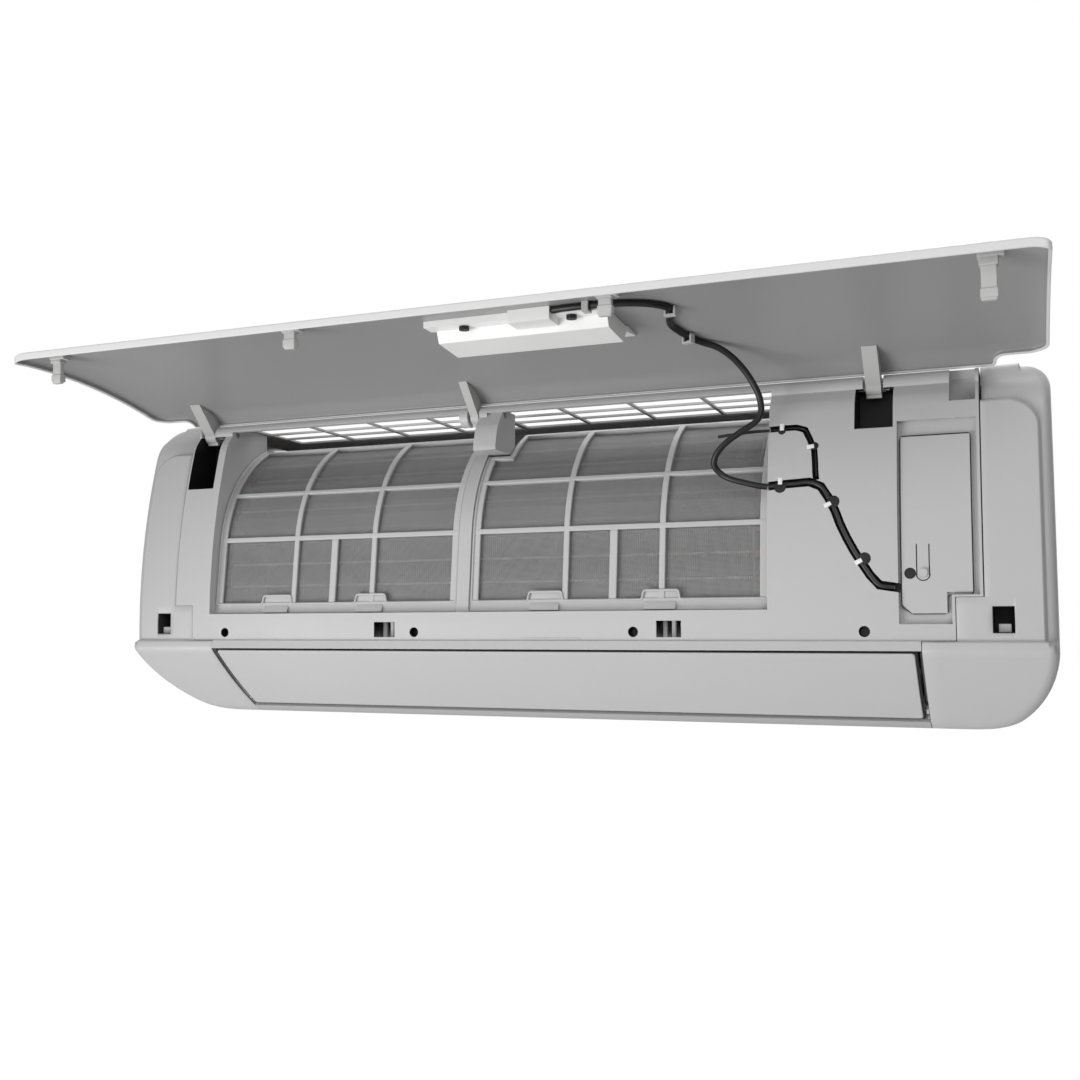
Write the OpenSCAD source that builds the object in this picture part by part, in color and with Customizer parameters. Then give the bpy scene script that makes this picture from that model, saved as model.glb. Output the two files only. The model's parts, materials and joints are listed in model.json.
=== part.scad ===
// Wall-mounted indoor unit of a split air conditioner, with its front panel swung up.
// Millimetres. X to the right, Y into the wall, Z up. The origin lies on the wall plane,
// in the middle of the four fixing holes of the mounting plate.

/* [Body] */
// Width over both end caps
body_w = 840; // [830:2:860]
// Distance from the wall to the closed front panel
panel_front = 207.5; // [204:0.5:212]
// Height of the top above the origin
top_z = 149; // [148:0.5:154]
// Wall thickness of the moulded shells
wall = 2.5; // [2:0.1:3]
// Gap left between neighbouring pieces
seam = 0.3; // [0.2:0.05:0.4]
// Radius of the upright curve of the front
front_r = 610; // [590:5:640]
// Radius of the shoulder where the front turns to the top
shoulder_r = 50; // [48:0.5:52]
// Radius of the lower corners in front view
low_corner_r = 73; // [60:1:76]
// Radius of the upper corners in front view
top_corner_r = 22; // [16:1:26]

/* [Panel] */
// Thickness of the front panel
panel_t = 2.5; // [2:0.1:3]
// How far the panel stands open, in degrees
panel_open = 90; // [0:1:90]
// Radius of the pins that carry the panel
hinge_pin_r = 3; // [2.5:0.1:3.5]

/* [Filters] */
// Width of the cheek between the left end cap and the filter well
left_cheek = 40; // [38:0.5:44]
// Width of the side with the electrics, right of the filter well
control_side = 161.5; // [159:0.5:164]
// Width of the post between the filters
post_w = 12; // [10:1:14]
// Thickness of a filter frame
filter_t = 4.5; // [3:0.5:5]
// Width of the ribs of a filter frame
rib_w = 7; // [5:0.5:9]
// Thickness of the filter mesh
mesh_t = 0.8; // [0.5:0.1:1.2]

/* [Louver and vanes] */
// Gap between the louver and the end walls of the duct
louver_play = 0.6; // [0.4:0.1:3]
// Thickness of the louver blade
louver_t = 2.5; // [2:0.1:3]
// Distance between neighbouring vanes
vane_spacing = 50; // [46:1:52]
// Thickness of a vane
vane_t = 1.6; // [1.2:0.1:2.2]

/* [Fan] */
// Radius of the fan wheel
fan_r = 45; // [43:0.5:46]
// Number of blades round the wheel
blade_count = 24; // [20:1:28]
// Number of blade rows along the wheel
fan_rows = 5; // [4:1:6]
// Radius of the fan shaft
shaft_r = 4; // [3:0.5:5]
// Radius of the fan motor
motor_r = 40; // [37:1:41]

/* [Heat exchanger] */
// Depth of the finned blocks
coil_t = 25; // [22:0.5:25.5]
// Distance between the fins
fin_spacing = 4; // [3.5:0.25:8]
// Outer radius of the copper tubes
tube_r = 3.5; // [3:0.25:4]
// Outer radius of the gas pipe
gas_r = 4.76; // [4.5:0.01:6]
// Outer radius of the liquid pipe
liquid_r = 3.175; // [3:0.005:4]

/* [Mounting plate] */
// Distance between the fixing holes along the wall
fix_w = 450; // [420:10:480]
// Distance between the fixing holes up the wall
fix_h = 150; // [130:5:160]
// Radius of the fixing holes
fix_r = 3; // [2.5:0.1:3.5]
// Thickness of the steel plate
plate_t = 1.5; // [1:0.1:2]

/* [Hidden] */
$fn = 48;

// Overrun of every cut past the face that it opens, and the play of a pin in its hole
cut = 1;
play = 0.05;
half_w = body_w / 2;

// Places in the side view are measured from the shut panel's front, towards the wall and up
from_front = [-panel_front, 0];

// Front curve seen from the side: its foremost height, its lower end and the angle of its bend
belly_z = -40;
shoulder_z = 104.94;
bend_t = asin((shoulder_z - belly_z) / (front_r - shoulder_r));
ridge_z = -68;
// How deep the frame's face and the caps' rim lie behind the closed panel's front
face_d = 7.3;
rim_d = 11.2;
rim_w = 8;
front_steps = 12;
bend_steps = 5;
main_c = [front_r - panel_front, belly_z];
shoulder_c = arc_point(main_c, front_r - shoulder_r, bend_t);

// Caps: end of the rim's curve, start of the flat top, and the raised face's upper corner
rim_t = 50;
top_start = 152;
face_t = 25;
face_top = 118;
face_corner_r = 25;

// Underside curve: headings and radii of a long stretch and of the turn to the wall
visor_inset = 4.5;
ridge_inset = 6;
crease_z = -76.5;
under_a0 = -44;
under_a1 = -33;
under_a2 = -4;
under_r1 = 460;
under_r2 = 50;
under_steps = 6;
crease = [visor_inset - panel_front, crease_z];
under_c1 = crease + under_r1 * [-sin(under_a0), cos(under_a0)];
under_e1 = turn_point(under_c1, under_r1, under_a1);
under_c2 = under_e1 + under_r2 * [-sin(under_a1), cos(under_a1)];
under_e2 = turn_point(under_c2, under_r2, under_a2);
floor_z = under_e2[1] - under_e2[0] * tan(under_a2);

// Seams between the front frame and the end caps: upper part, middle step and foot
cap_w = 51;
cap_step = 20;
foot_step = 25;
seam_x = half_w - cap_w;
step_x = seam_x - cap_step;
foot_x = step_x - foot_step;
well_left = left_cheek - seam_x;
well_right = seam_x - control_side;
step_z = -35;

// Front frame: bottom edge of its bar, its rear edge, and the nose that the panel turns on
bar_z = -75.5;
frame_back = 12;
nose_r = 9.3;
nose_t = 30;
hinge_place = [47, 136.4];
hinge = from_front + hinge_place;
frame_top = hinge[1] + nose_r;
rail_drop = 7.7;
rail_z = frame_top - rail_drop;
shelf_z = -43;

// Filters: arc that they follow, its ends, and the ledges behind them
filter_place = [141.5, 15];
filter_c = from_front + filter_place;
filter_r = 116;
filter_t0 = 5;
filter_t1 = 67;
filter_steps = 10;
ledge_w = 6;
ledge_t = 2;
cheek_t = 10;
post_right = -57.5;
post_left = post_right - post_w;

// Air inlet in the top, from the panel's front to its two edges
inlet_places = [69.5, 160.5];
inlet_front = inlet_places[0] - panel_front;
inlet_rear = inlet_places[1] - panel_front;

// Fan and the scroll round it
fan_place = [107.5, -8];
fan_c = from_front + fan_place;
fan_gap = 4;
scroll_growth = 15;
scroll_a0 = 25;
scroll_a1 = -50;
scroll_steps = 9;
scroll_r1 = fan_r + fan_gap + scroll_growth;
scroll_end = fan_c + scroll_r1 * [cos(scroll_a1), sin(scroll_a1)];
lip_a = -29;
lip_t = 3;
lip = turn_point(under_c2, under_r2 - lip_t, lip_a);
floor_a = atan2(scroll_end[1] - lip[1], scroll_end[0] - lip[0]);

// Walls at the ends of the air duct
duct_wall = 2.1;
duct_x = foot_x - seam - duct_wall;
louver_w = 2 * (duct_x - louver_play);
fan_wall_inset = 128;
fan_wall_x = foot_x - fan_wall_inset;

// Finned blocks: ends, corners, slopes and heights
sheet_t = 1.5;
coil_left = seam + sheet_t - duct_x;
coil_gap = 4;
coil_right = fan_wall_x - coil_gap;
lower_place = [29.5, -47.7];
lower_c = from_front + lower_place;
lower_h = 81.7;
upper_place = [35.5, 50];
upper_c = from_front + upper_place;
upper_a = -38;
upper_h = 80;
rear_place = [157.5, 31.4];
rear_c = from_front + rear_place;
rear_a = 38;
rear_h = 84;
fin_t = 1.4;
fin_depth = 5;
tube_spacing = 21;

// Louver pivot and its pins
louver_depth = 7.01;
louver_a = -34.035;
louver_c = turn_point(under_c1, under_r1 - louver_depth, louver_a);
louver_pin_r = 3;
bush_r = 5;

// Colours
shell_grey = "#c9cacc";
panel_grey = "#c2c3c5";
dark_grey = "#4b4d50";
mesh_grey = "#85888b";
steel = "#aeb2b6";
copper = "#b87333";
black = "#1c1c1e";
white = "#e6e6e4";

function arc_point(c, r, t) = c + r * [-cos(t), sin(t)];
function arc_points(c, r, t0, t1, n) = [for (i = [0 : n]) arc_point(c, r, t0 + (t1 - t0) * i / n)];
function turn_point(c, r, a) = c + r * [sin(a), -cos(a)];
function turn_points(c, r, a0, a1, n) = [for (i = [0 : n]) turn_point(c, r, a0 + (a1 - a0) * i / n)];
// Places and routes along the body, counted from the recess of the electrics
function from_recess(places) = [for (x = places) recess_x + x];
function route(points) = [for (p = points) [recess_x + p[0], each [for (i = [1 : len(p) - 1]) p[i]]]];
function reversed(p) = [for (i = [len(p) - 1 : -1 : 0]) p[i]];

// Front curve at depth d behind the panel's front, from height z0 up to the angle t1
function front_curve(d, z0, t1) =
    let (t0 = asin((z0 - belly_z) / (front_r - d)))
    t1 <= bend_t
        ? arc_points(main_c, front_r - d, t0, t1, front_steps)
        : concat(arc_points(main_c, front_r - d, t0, bend_t, front_steps),
            [for (i = [1 : bend_steps])
                arc_point(shoulder_c, shoulder_r - d, bend_t + (t1 - bend_t) * i / bend_steps)]);
function band(d0, d1, z0, t1) = concat(front_curve(d0, z0, t1), reversed(front_curve(d1, z0, t1)));

// Y of that curve at height z
function front_y(d, z) =
    z < main_c[1] + (front_r - d) * sin(bend_t)
        ? main_c[0] - sqrt((front_r - d) ^ 2 - (z - main_c[1]) ^ 2)
        : shoulder_c[0] - sqrt((shoulder_r - d) ^ 2 - (z - shoulder_c[1]) ^ 2);

// Underside curve at depth d inside the skin, from heading a0 to the wall
function under_curve(d) = concat(
    turn_points(under_c1, under_r1 - d, under_a0, under_a1, under_steps),
    turn_points(under_c2, under_r2 - d, under_a1, under_a2, under_steps),
    [[0, floor_z + d]]);

// Curve of the filters at radius r, from the shelf up, then its band between two radii
function filter_curve(r, z0) =
    let (foot = arc_point(filter_c, r, filter_t0))
    concat([foot - (foot[1] - z0) * [tan(filter_t0), 1]],
        arc_points(filter_c, r, filter_t0, filter_t1, filter_steps));
function filter_band(r0, r1, z0) = concat(filter_curve(r1, z0), reversed(filter_curve(r0, z0)));

// Side view drawn in Y and Z, between two places along the body
module prism(x0, x1) {
    translate([x0, 0, 0])
        rotate([90, 0, 90])
            linear_extrude(x1 - x0)
                children();
}

// Front view drawn in X and Z, between two depths
module plate(y0, y1) {
    translate([0, y1, 0])
        rotate([90, 0, 0])
            linear_extrude(y1 - y0)
                children();
}

module box(a, b) {
    translate(a)
        cube(b - a);
}

// Round bar along the body, at a point of the side view
module rod(x0, x1, c, r) {
    translate([x0, c[0], c[1]])
        rotate([0, 90, 0])
            cylinder(r = r, h = x1 - x0);
}

// Round bar into the wall, at a point of the front view
module peg(y0, y1, c, r) {
    translate([c[0], y1, c[1]])
        rotate([90, 0, 0])
            cylinder(r = r, h = y1 - y0);
}

module area(x0, x1, z0, z1) {
    translate([x0, z0])
        square([x1 - x0, z1 - z0]);
}

// Front view of the body, set in by d, with its own radii at the lower and upper corners
module rounded(w, z0, z1, r0, r1) {
    area(r0 - w, w - r0, z0, z1);
    area(r1 - w, w - r1, z0 + r0, z1);
    area(-w, w, z0 + r0, z1 - r1);
    for (s = [-1, 1]) {
        translate([s * (w - r0), z0 + r0])
            circle(r0);
        translate([s * (w - r1), z1 - r1])
            circle(r1);
    }
}

// End caps

function cap_profile(d, back) = concat(
    front_curve(rim_d + d, ridge_z - d, rim_t),
    [[d - top_start, top_z - d], [back, top_z - d], [back, floor_z + d]],
    reversed(under_curve(d)),
    [[ridge_inset + d - panel_front, ridge_z - d]]);

module cap_region() {
    area(seam_x, half_w, floor_z, top_z);
    area(step_x, half_w, floor_z, step_z);
    area(foot_x, half_w, floor_z, ridge_z);
}

module face_outline(d) {
    x1 = half_w - rim_w - d;
    r = face_corner_r - d;
    area(foot_x, x1 - r, ridge_z + d, face_top - d);
    area(foot_x, x1, ridge_z + d, face_top - d - r);
    translate([x1 - r, face_top - d - r])
        circle(r);
}

socket_w = 16;
socket_h = 20;
socket_z = -62;
end_socket_x = seam_x + 0.5 * (cap_w - rim_w) - socket_w;

module cap() {
    difference() {
        union() {
            intersection() {
                prism(foot_x, half_w)
                    polygon(cap_profile(0, 0));
                plate(-panel_front, 0)
                    rounded(half_w, floor_z, top_z, low_corner_r, top_corner_r);
                plate(-panel_front, 0)
                    cap_region();
            }
            intersection() {
                prism(foot_x, half_w - rim_w)
                    polygon(band(face_d, rim_d + wall, ridge_z, face_t));
                plate(-panel_front, 0)
                    face_outline(0);
                plate(-panel_front, 0)
                    cap_region();
            }
        }
        intersection() {
            prism(foot_x - cut, half_w - wall)
                polygon(cap_profile(wall, cut));
            plate(-panel_front, cut)
                rounded(half_w - wall, floor_z + wall, top_z - wall,
                    low_corner_r - wall, top_corner_r - wall);
        }
        intersection() {
            prism(foot_x - cut, half_w - rim_w - wall)
                polygon(band(face_d + wall, rim_d + wall + cut, ridge_z + wall, face_t));
            plate(-panel_front, 0)
                face_outline(wall);
        }
        box([end_socket_x, -panel_front, socket_z],
            [end_socket_x + socket_w, rim_d + wall + cut - panel_front, socket_z + socket_h]);
    }
}

module end_cap_right() {
    color(shell_grey)
        cap();
}

module end_cap_left() {
    color(shell_grey)
        mirror([1, 0, 0])
            cap();
}

// Front frame

function frame_outer() = concat(
    [[-frame_back, bar_z], [crease[0], bar_z], [ridge_inset - panel_front, ridge_z]],
    front_curve(face_d, ridge_z, nose_t),
    [[hinge[0], frame_top], [-frame_back, frame_top]]);
function frame_inner() = concat(
    [[cut - frame_back, bar_z - cut], [crease[0] + wall, bar_z - cut]],
    front_curve(face_d + wall, ridge_z, nose_t),
    [[hinge[0], frame_top - wall], [cut - frame_back, frame_top - wall]]);
function guide_section() = concat(
    front_curve(face_d, shelf_z, nose_t),
    [[hinge[0], frame_top - wall],
        [arc_point(filter_c, filter_r, filter_t1)[0], frame_top - wall]],
    reversed(filter_curve(filter_r - ledge_t, shelf_z)));

module frame_region() {
    area(seam - foot_x, foot_x - seam, bar_z, frame_top);
    area(seam - step_x, step_x - seam, ridge_z + seam, frame_top);
    area(seam - seam_x, seam_x - seam, step_z + seam, frame_top);
}

// Hinge pockets: left edge, width, lower and upper end, and the place of the arm's slot
arm_w = 12;
slot_play = 2;
pocket_insets = [2, 93.5];
arm_insets = [5, 86];
pockets = [
    [pocket_insets[0] - seam_x, 30, 80, 134, arm_insets[0] - seam_x],
    [seam_x - pocket_insets[1], 29.5, 99.5, 134, seam_x - arm_insets[1]]];
pocket_inset = 62.5;
pocket_y = pocket_inset - panel_front;
pocket_t = 1.7;
lug_w = 8;
middle_arm_x = -69;
middle_arm_w = 8;
bracket_x = -59;
bracket_w = 22;
bracket_z = 102;
bracket_insets = [25.5, 69.5];

// Places of the frame's screws, and of the latches in its bar
screw_insets = [58, 87];
screw_x = [screw_insets[0] - seam_x, -108, 96, seam_x - screw_insets[1]];
screw_z = -60.6;
screw_head_r = 4;
screw_r = 1.7;
boss_r = 5;
boss_floor = 1.8;
seat_inset = 18.5;
seat_y = seat_inset - panel_front;
boss_back = seat_y + boss_floor;
latch_x = [-138, 126.5];
latch_w = 21;
latch_z = [-65, -51.5];

// Recess over the control box, its cover, and the notch beside the cap
recess_inset = 61;
recess_x = seam_x - recess_inset;
recess_w = 58.4;
recess_foot_w = 38.4;
recess_z = [-55, -33, 104];
recess_depth = 5.8;
recess_floor = 2.2;
recess_rim = 2;
window = [12, 42, -28, 70] + [recess_x, recess_x, 0, 0];
notch = [39, 58, 118] + [recess_x, recess_x, 0];
notch_inset = 49.5;
notch_y = notch_inset - panel_front;

// Cable channel on the frame and its branch for the sensor lead
channel_w = 7;
lead_w = 5;
channel_depth = 6.5;
channel_play = 1;
channel_wall = 2;
channel_back = face_d + channel_depth + channel_wall;

module frame_shell() {
    intersection() {
        difference() {
            union() {
                prism(-seam_x, seam_x)
                    polygon(frame_outer());
                rod(-seam_x, seam_x, hinge, nose_r);
            }
            prism(-seam_x - cut, seam_x + cut)
                polygon(frame_inner());
        }
        plate(-panel_front, 0)
            frame_region();
    }
}

// Box shell behind the face, opened by the same box without its rim
module tub(x0, x1, z0, z1, y) {
    intersection() {
        box([x0 - pocket_t, -panel_front, z0 - pocket_t], [x1 + pocket_t, y + pocket_t, z1 + pocket_t]);
        prism(-seam_x, seam_x)
            polygon(frame_outer());
    }
}

function way(a, b) = (b - a) / norm(b - a);

// One side of a strip of width w along a route, which it overruns by half its width at both ends
function strip_side(route, w, s) =
    let (n = len(route) - 1)
    [for (i = [0 : n])
        let (u = way(route[max(i - 1, 0)], route[max(i, 1)]),
            v = way(route[min(i, n - 1)], route[min(i + 1, n)]))
        route[i] + w / 2 * (s * [-u[1] - v[1], u[0] + v[0]] / (1 + u * v)
            + (i == 0 ? -u : i == n ? v : [0, 0]))];

module channel(route, w, d0, d1) {
    intersection() {
        prism(well_right, recess_x + recess_rim)
            polygon(band(d0, d1, ridge_z, face_t));
        plate(-panel_front, 0)
            polygon(concat(strip_side(route, w, 1), reversed(strip_side(route, w, -1))));
    }
}

module recess_outline(d) {
    area(recess_x - d, recess_x + recess_w + d, recess_z[1] - d, recess_z[2] + d);
    area(recess_x - d, recess_x + recess_foot_w + d, recess_z[0] - d, recess_z[1]);
}

module well_guides() {
    prism(well_left - cheek_t, well_left)
        polygon(guide_section());
    prism(well_right, well_right + wall)
        polygon(guide_section());
    prism(post_left, post_right)
        polygon(filter_band(filter_r - ledge_t, filter_r + filter_t + ledge_t, shelf_z - wall));
    for (x = [well_left, post_left - ledge_w, post_right, well_right - ledge_w])
        prism(x, x + ledge_w)
            polygon(filter_band(filter_r - ledge_t, filter_r - seam, shelf_z));
    // Shelf that the filters stand on
    box([well_left - cheek_t, front_y(face_d + wall, shelf_z), shelf_z - wall],
        [well_right + wall, tray_front - seam, shelf_z]);
    // Housing of the middle arm beside the post
    intersection() {
        box([bracket_x, bracket_insets[0] - panel_front, bracket_z],
            [bracket_x + bracket_w, bracket_insets[1] - panel_front, rail_z + wall]);
        prism(bracket_x, bracket_x + bracket_w)
            polygon(frame_outer());
    }
}

module front_frame() {
    color(shell_grey)
        difference() {
            union() {
                difference() {
                    frame_shell();
                    box([well_left, -panel_front, shelf_z], [well_right, hinge[0] + nose_r + cut, rail_z]);
                    box([well_left, inlet_front, frame_top - wall - cut],
                        [well_right, inlet_rear, frame_top + cut]);
                }
                well_guides();
                for (p = pockets) {
                    tub(p[0], p[0] + p[1], p[2], p[3], pocket_y);
                    rod(max(p[4] - slot_play - lug_w, seam - seam_x), p[4] + arm_w + slot_play + lug_w,
                        hinge, nose_r);
                }
                rod(middle_arm_x - slot_play - lug_w, middle_arm_x + middle_arm_w + slot_play + lug_w,
                    hinge, nose_r);
                tub(notch[0], notch[1], notch[2], frame_top, notch_y);
                intersection() {
                    prism(recess_x - recess_rim, seam_x - seam)
                        polygon(band(face_d, face_d + recess_depth + recess_floor, ridge_z, face_t));
                    plate(-panel_front, 0)
                        recess_outline(recess_rim);
                    plate(-panel_front, 0)
                        frame_region();
                }
                for (x = screw_x)
                    peg(front_y(face_d + wall, screw_z), boss_back, [x, screw_z], boss_r);
                intersection() {
                    union() {
                        channel(channel_cable, channel_w + 2 * channel_wall, face_d + wall / 2, channel_back);
                        channel(lead_points, lead_w + 2 * channel_wall, face_d + wall / 2, channel_back);
                    }
                    plate(-panel_front, 0)
                        area(well_right, recess_x, ridge_z, frame_top);
                }
            }
            for (p = pockets) {
                box([p[0], -panel_front, p[2]], [p[0] + p[1], pocket_y, p[3]]);
                box([p[4] - slot_play, -panel_front, p[3] - cut],
                    [p[4] + arm_w + slot_play, hinge[0] + nose_r + cut, frame_top + cut]);
            }
            box([middle_arm_x - slot_play, -panel_front, bracket_z],
                [middle_arm_x + middle_arm_w + slot_play, hinge[0] + nose_r + cut, frame_top + cut]);
            rod(-seam_x - cut, seam_x + cut, hinge, hinge_pin_r + play);
            box([notch[0], -panel_front, notch[2]], [notch[1], notch_y, frame_top + cut]);
            intersection() {
                prism(recess_x, recess_x + recess_w)
                    polygon(band(0, face_d + recess_depth, ridge_z, face_t));
                plate(-panel_front, 0)
                    recess_outline(0);
            }
            box([window[0], -panel_front, window[2]], [window[1], pocket_y, window[3]]);
            for (x = screw_x) {
                peg(-panel_front, seat_y, [x, screw_z], screw_head_r + seam);
                peg(-panel_front, boss_back + cut, [x, screw_z], screw_r + play);
            }
            for (x = latch_x)
                box([x - latch_w / 2, -panel_front, latch_z[0]], [x + latch_w / 2, seat_y, latch_z[1]]);
            channel(channel_cable, channel_w, 0, face_d + channel_depth);
            channel(lead_points, lead_w, 0, face_d + channel_depth);
        }
}

// Grille over the inlet, with four bays on each side of the post

grille_t = 2;
grille_bar = 3;
grille_edge = 3;
grille_bays = 4;
grille_slots = 3;

module grille_side(x0, x1) {
    y0 = inlet_front + seam;
    y1 = inlet_rear - seam;
    slot_w = (y1 - y0 - 2 * grille_edge - (grille_slots - 1) * grille_bar) / grille_slots;
    bay_w = (x1 - x0 - grille_bar * (grille_bays + 1)) / grille_bays;
    translate([0, 0, frame_top - grille_t])
        linear_extrude(grille_t)
            difference() {
                translate([x0, y0])
                    square([x1 - x0, y1 - y0]);
                for (i = [0 : grille_bays - 1])
                    for (j = [0 : grille_slots - 1])
                        translate([x0 + grille_bar + i * (bay_w + grille_bar),
                            y0 + grille_edge + j * (slot_w + grille_bar)])
                            square([bay_w, slot_w]);
            }
}

module top_grille() {
    color(shell_grey) {
        grille_side(well_left + seam, (post_left + post_right) / 2);
        grille_side((post_left + post_right) / 2, well_right - seam);
    }
}

module frame_screws() {
    color(steel)
        for (x = screw_x) {
            peg(seat_y - screw_head_r / 2, seat_y, [x, screw_z], screw_head_r);
            peg(seat_y, boss_back + 2 * boss_r, [x, screw_z], screw_r);
        }
}

// Rear chassis with the scroll, the drip tray and the air duct

tray_insets = [24, 60];
tray_front = tray_insets[0] - panel_front;
tray_back = tray_insets[1] - panel_front;
tray_t = 2.5;
tray_floor = -48;
tray_rim = -41;
roof_place = [14.5, -68.5];
roof_y = roof_place[0] - panel_front;
roof_z = roof_place[1];
blade_clear = 9;
mouth_a = -43;
back_y = -11.5;
back_t = 2.5;
back_top = frame_top - wall - seam;
channel_top = -62;
platform_reach = [28, 56];
platform = [[recess_x - platform_reach[0], -170, -50.6], [recess_x + platform_reach[1], -112, -46.3]];
rear_tray = [-54, 24];
cradle_gaps = [12, 50];
cradle_x = [for (g = cradle_gaps) fan_wall_x + g];
cradle_t = 4;
cradle_h = 52;
spigot_r = 8;
spigot_bore = 6;
spigot_l = 25;
spigot_c = [-46, -100];
spigots = [160, -170];
tongue_h = 10;
tongue = [[tray_back - tray_t, tray_floor], [tray_back + 2 * tray_t, tray_floor + tongue_h],
    [tray_back, tray_floor - tray_t]];
hook_x = [-140, 140];
hook_w = 24;
hook_z = 104;
hook_t = 2;

function scroll_points(d) = [for (i = [0 : scroll_steps])
    let (a = scroll_a0 + (scroll_a1 - scroll_a0) * i / scroll_steps,
        r = fan_r + fan_gap + scroll_growth * i / scroll_steps + d)
    fan_c + r * [cos(a), sin(a)]];

// Height of the duct roof's upper face
function roof_at(y) = tray_floor + (y - tray_back) * (roof_z - tray_floor) / (roof_y - tray_back);

module roof_section() {
    polygon([[tray_back, tray_floor], [tray_back, tray_floor - tray_t], [roof_y, roof_z - tray_t],
        [roof_y, roof_z]]);
}

// Duct roof beside the fan, from the tray to the end of the scroll
module ceiling_section() {
    polygon([[tray_back, tray_floor], [tray_back, tray_floor - tray_t], local([0, -tray_t]),
        scroll_end + [0, tray_t]]);
}

// Rib under the motor, down to the duct and the pipe channel
module cradle_section() {
    y0 = fan_c[0] + seam;
    polygon([[y0, fan_c[1] + cradle_h], [back_y, fan_c[1] + cradle_h], [back_y, channel_top],
        [scroll_end[0], channel_top], [y0, tray_floor - 2 * tray_t]]);
}

// Pillar for a screw, standing on the duct's roof
module pillar_section() {
    y0 = boss_back + seam;
    y1 = boss_back + 3 * boss_r;
    polygon([[y0, roof_at(y0) - tray_t / 2], [y0, tray_floor - tray_t], [y1, tray_floor - tray_t],
        [y1, roof_at(y1) - tray_t / 2]]);
}

// End walls: of the fan chamber alone, and with the mouth
function chamber_side() = concat(
    [[tray_back, tray_floor - tray_t]],
    reversed(scroll_points(0)),
    [rear_tray + [tray_t, tray_t / 2], [fan_c[0], fan_c[1] + fan_r + fan_gap + tray_t],
        [tray_back, tray_floor + cradle_h]]);
function mouth_points() = concat(
    [[roof_y, roof_z]],
    turn_points(under_c1, under_r1 - blade_clear, mouth_a, under_a1, under_steps),
    [lip]);
function duct_side() = concat(
    [[tray_back, tray_floor - tray_t]],
    mouth_points(),
    reversed(scroll_points(0)),
    [rear_tray + [tray_t, tray_t / 2], [fan_c[0], fan_c[1] + fan_r + fan_gap + tray_t],
        [tray_back, tray_floor + cradle_h]]);
function mouth_side() = concat(
    [[tray_back, tray_floor - tray_t]],
    mouth_points(),
    [scroll_end]);

function local(p) = scroll_end + [-p[0] * cos(floor_a) - p[1] * sin(floor_a),
    -p[0] * sin(floor_a) + p[1] * cos(floor_a)];

// Places on the duct's floor, measured from the scroll towards the mouth, and square to it
module on_floor(x) {
    translate([x, scroll_end[0], scroll_end[1]])
        rotate([floor_a, 0, 0])
            children();
}

module scroll_shell(x0, x1) {
    prism(x0, x1)
        polygon(concat(scroll_points(0), reversed(scroll_points(tray_t))));
}

module duct_floor() {
    prism(-duct_x - duct_wall, duct_x + duct_wall)
        polygon([local([0, 0]), local([norm(scroll_end - lip), 0]),
            local([norm(scroll_end - lip), -tray_t]), local([0, -tray_t])]);
}

module under_skin() {
    prism(seam - foot_x, foot_x - seam)
        polygon(concat(turn_points(under_c2, under_r2, lip_a, under_a2, under_steps), [[0, floor_z]],
            [[0, floor_z + lip_t]],
            reversed(turn_points(under_c2, under_r2 - lip_t, lip_a, under_a2, under_steps))));
}

module spigot(x) {
    block = [[x, spigot_c[0] - spigot_r - tray_t, spigot_c[1] - spigot_r],
        [x + 2 * spigot_r, spigot_c[0] + spigot_r + tray_t, channel_top]];
    box(block[0], block[1]);
    rod(x - spigot_l, x, spigot_c, spigot_r);
}

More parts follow.
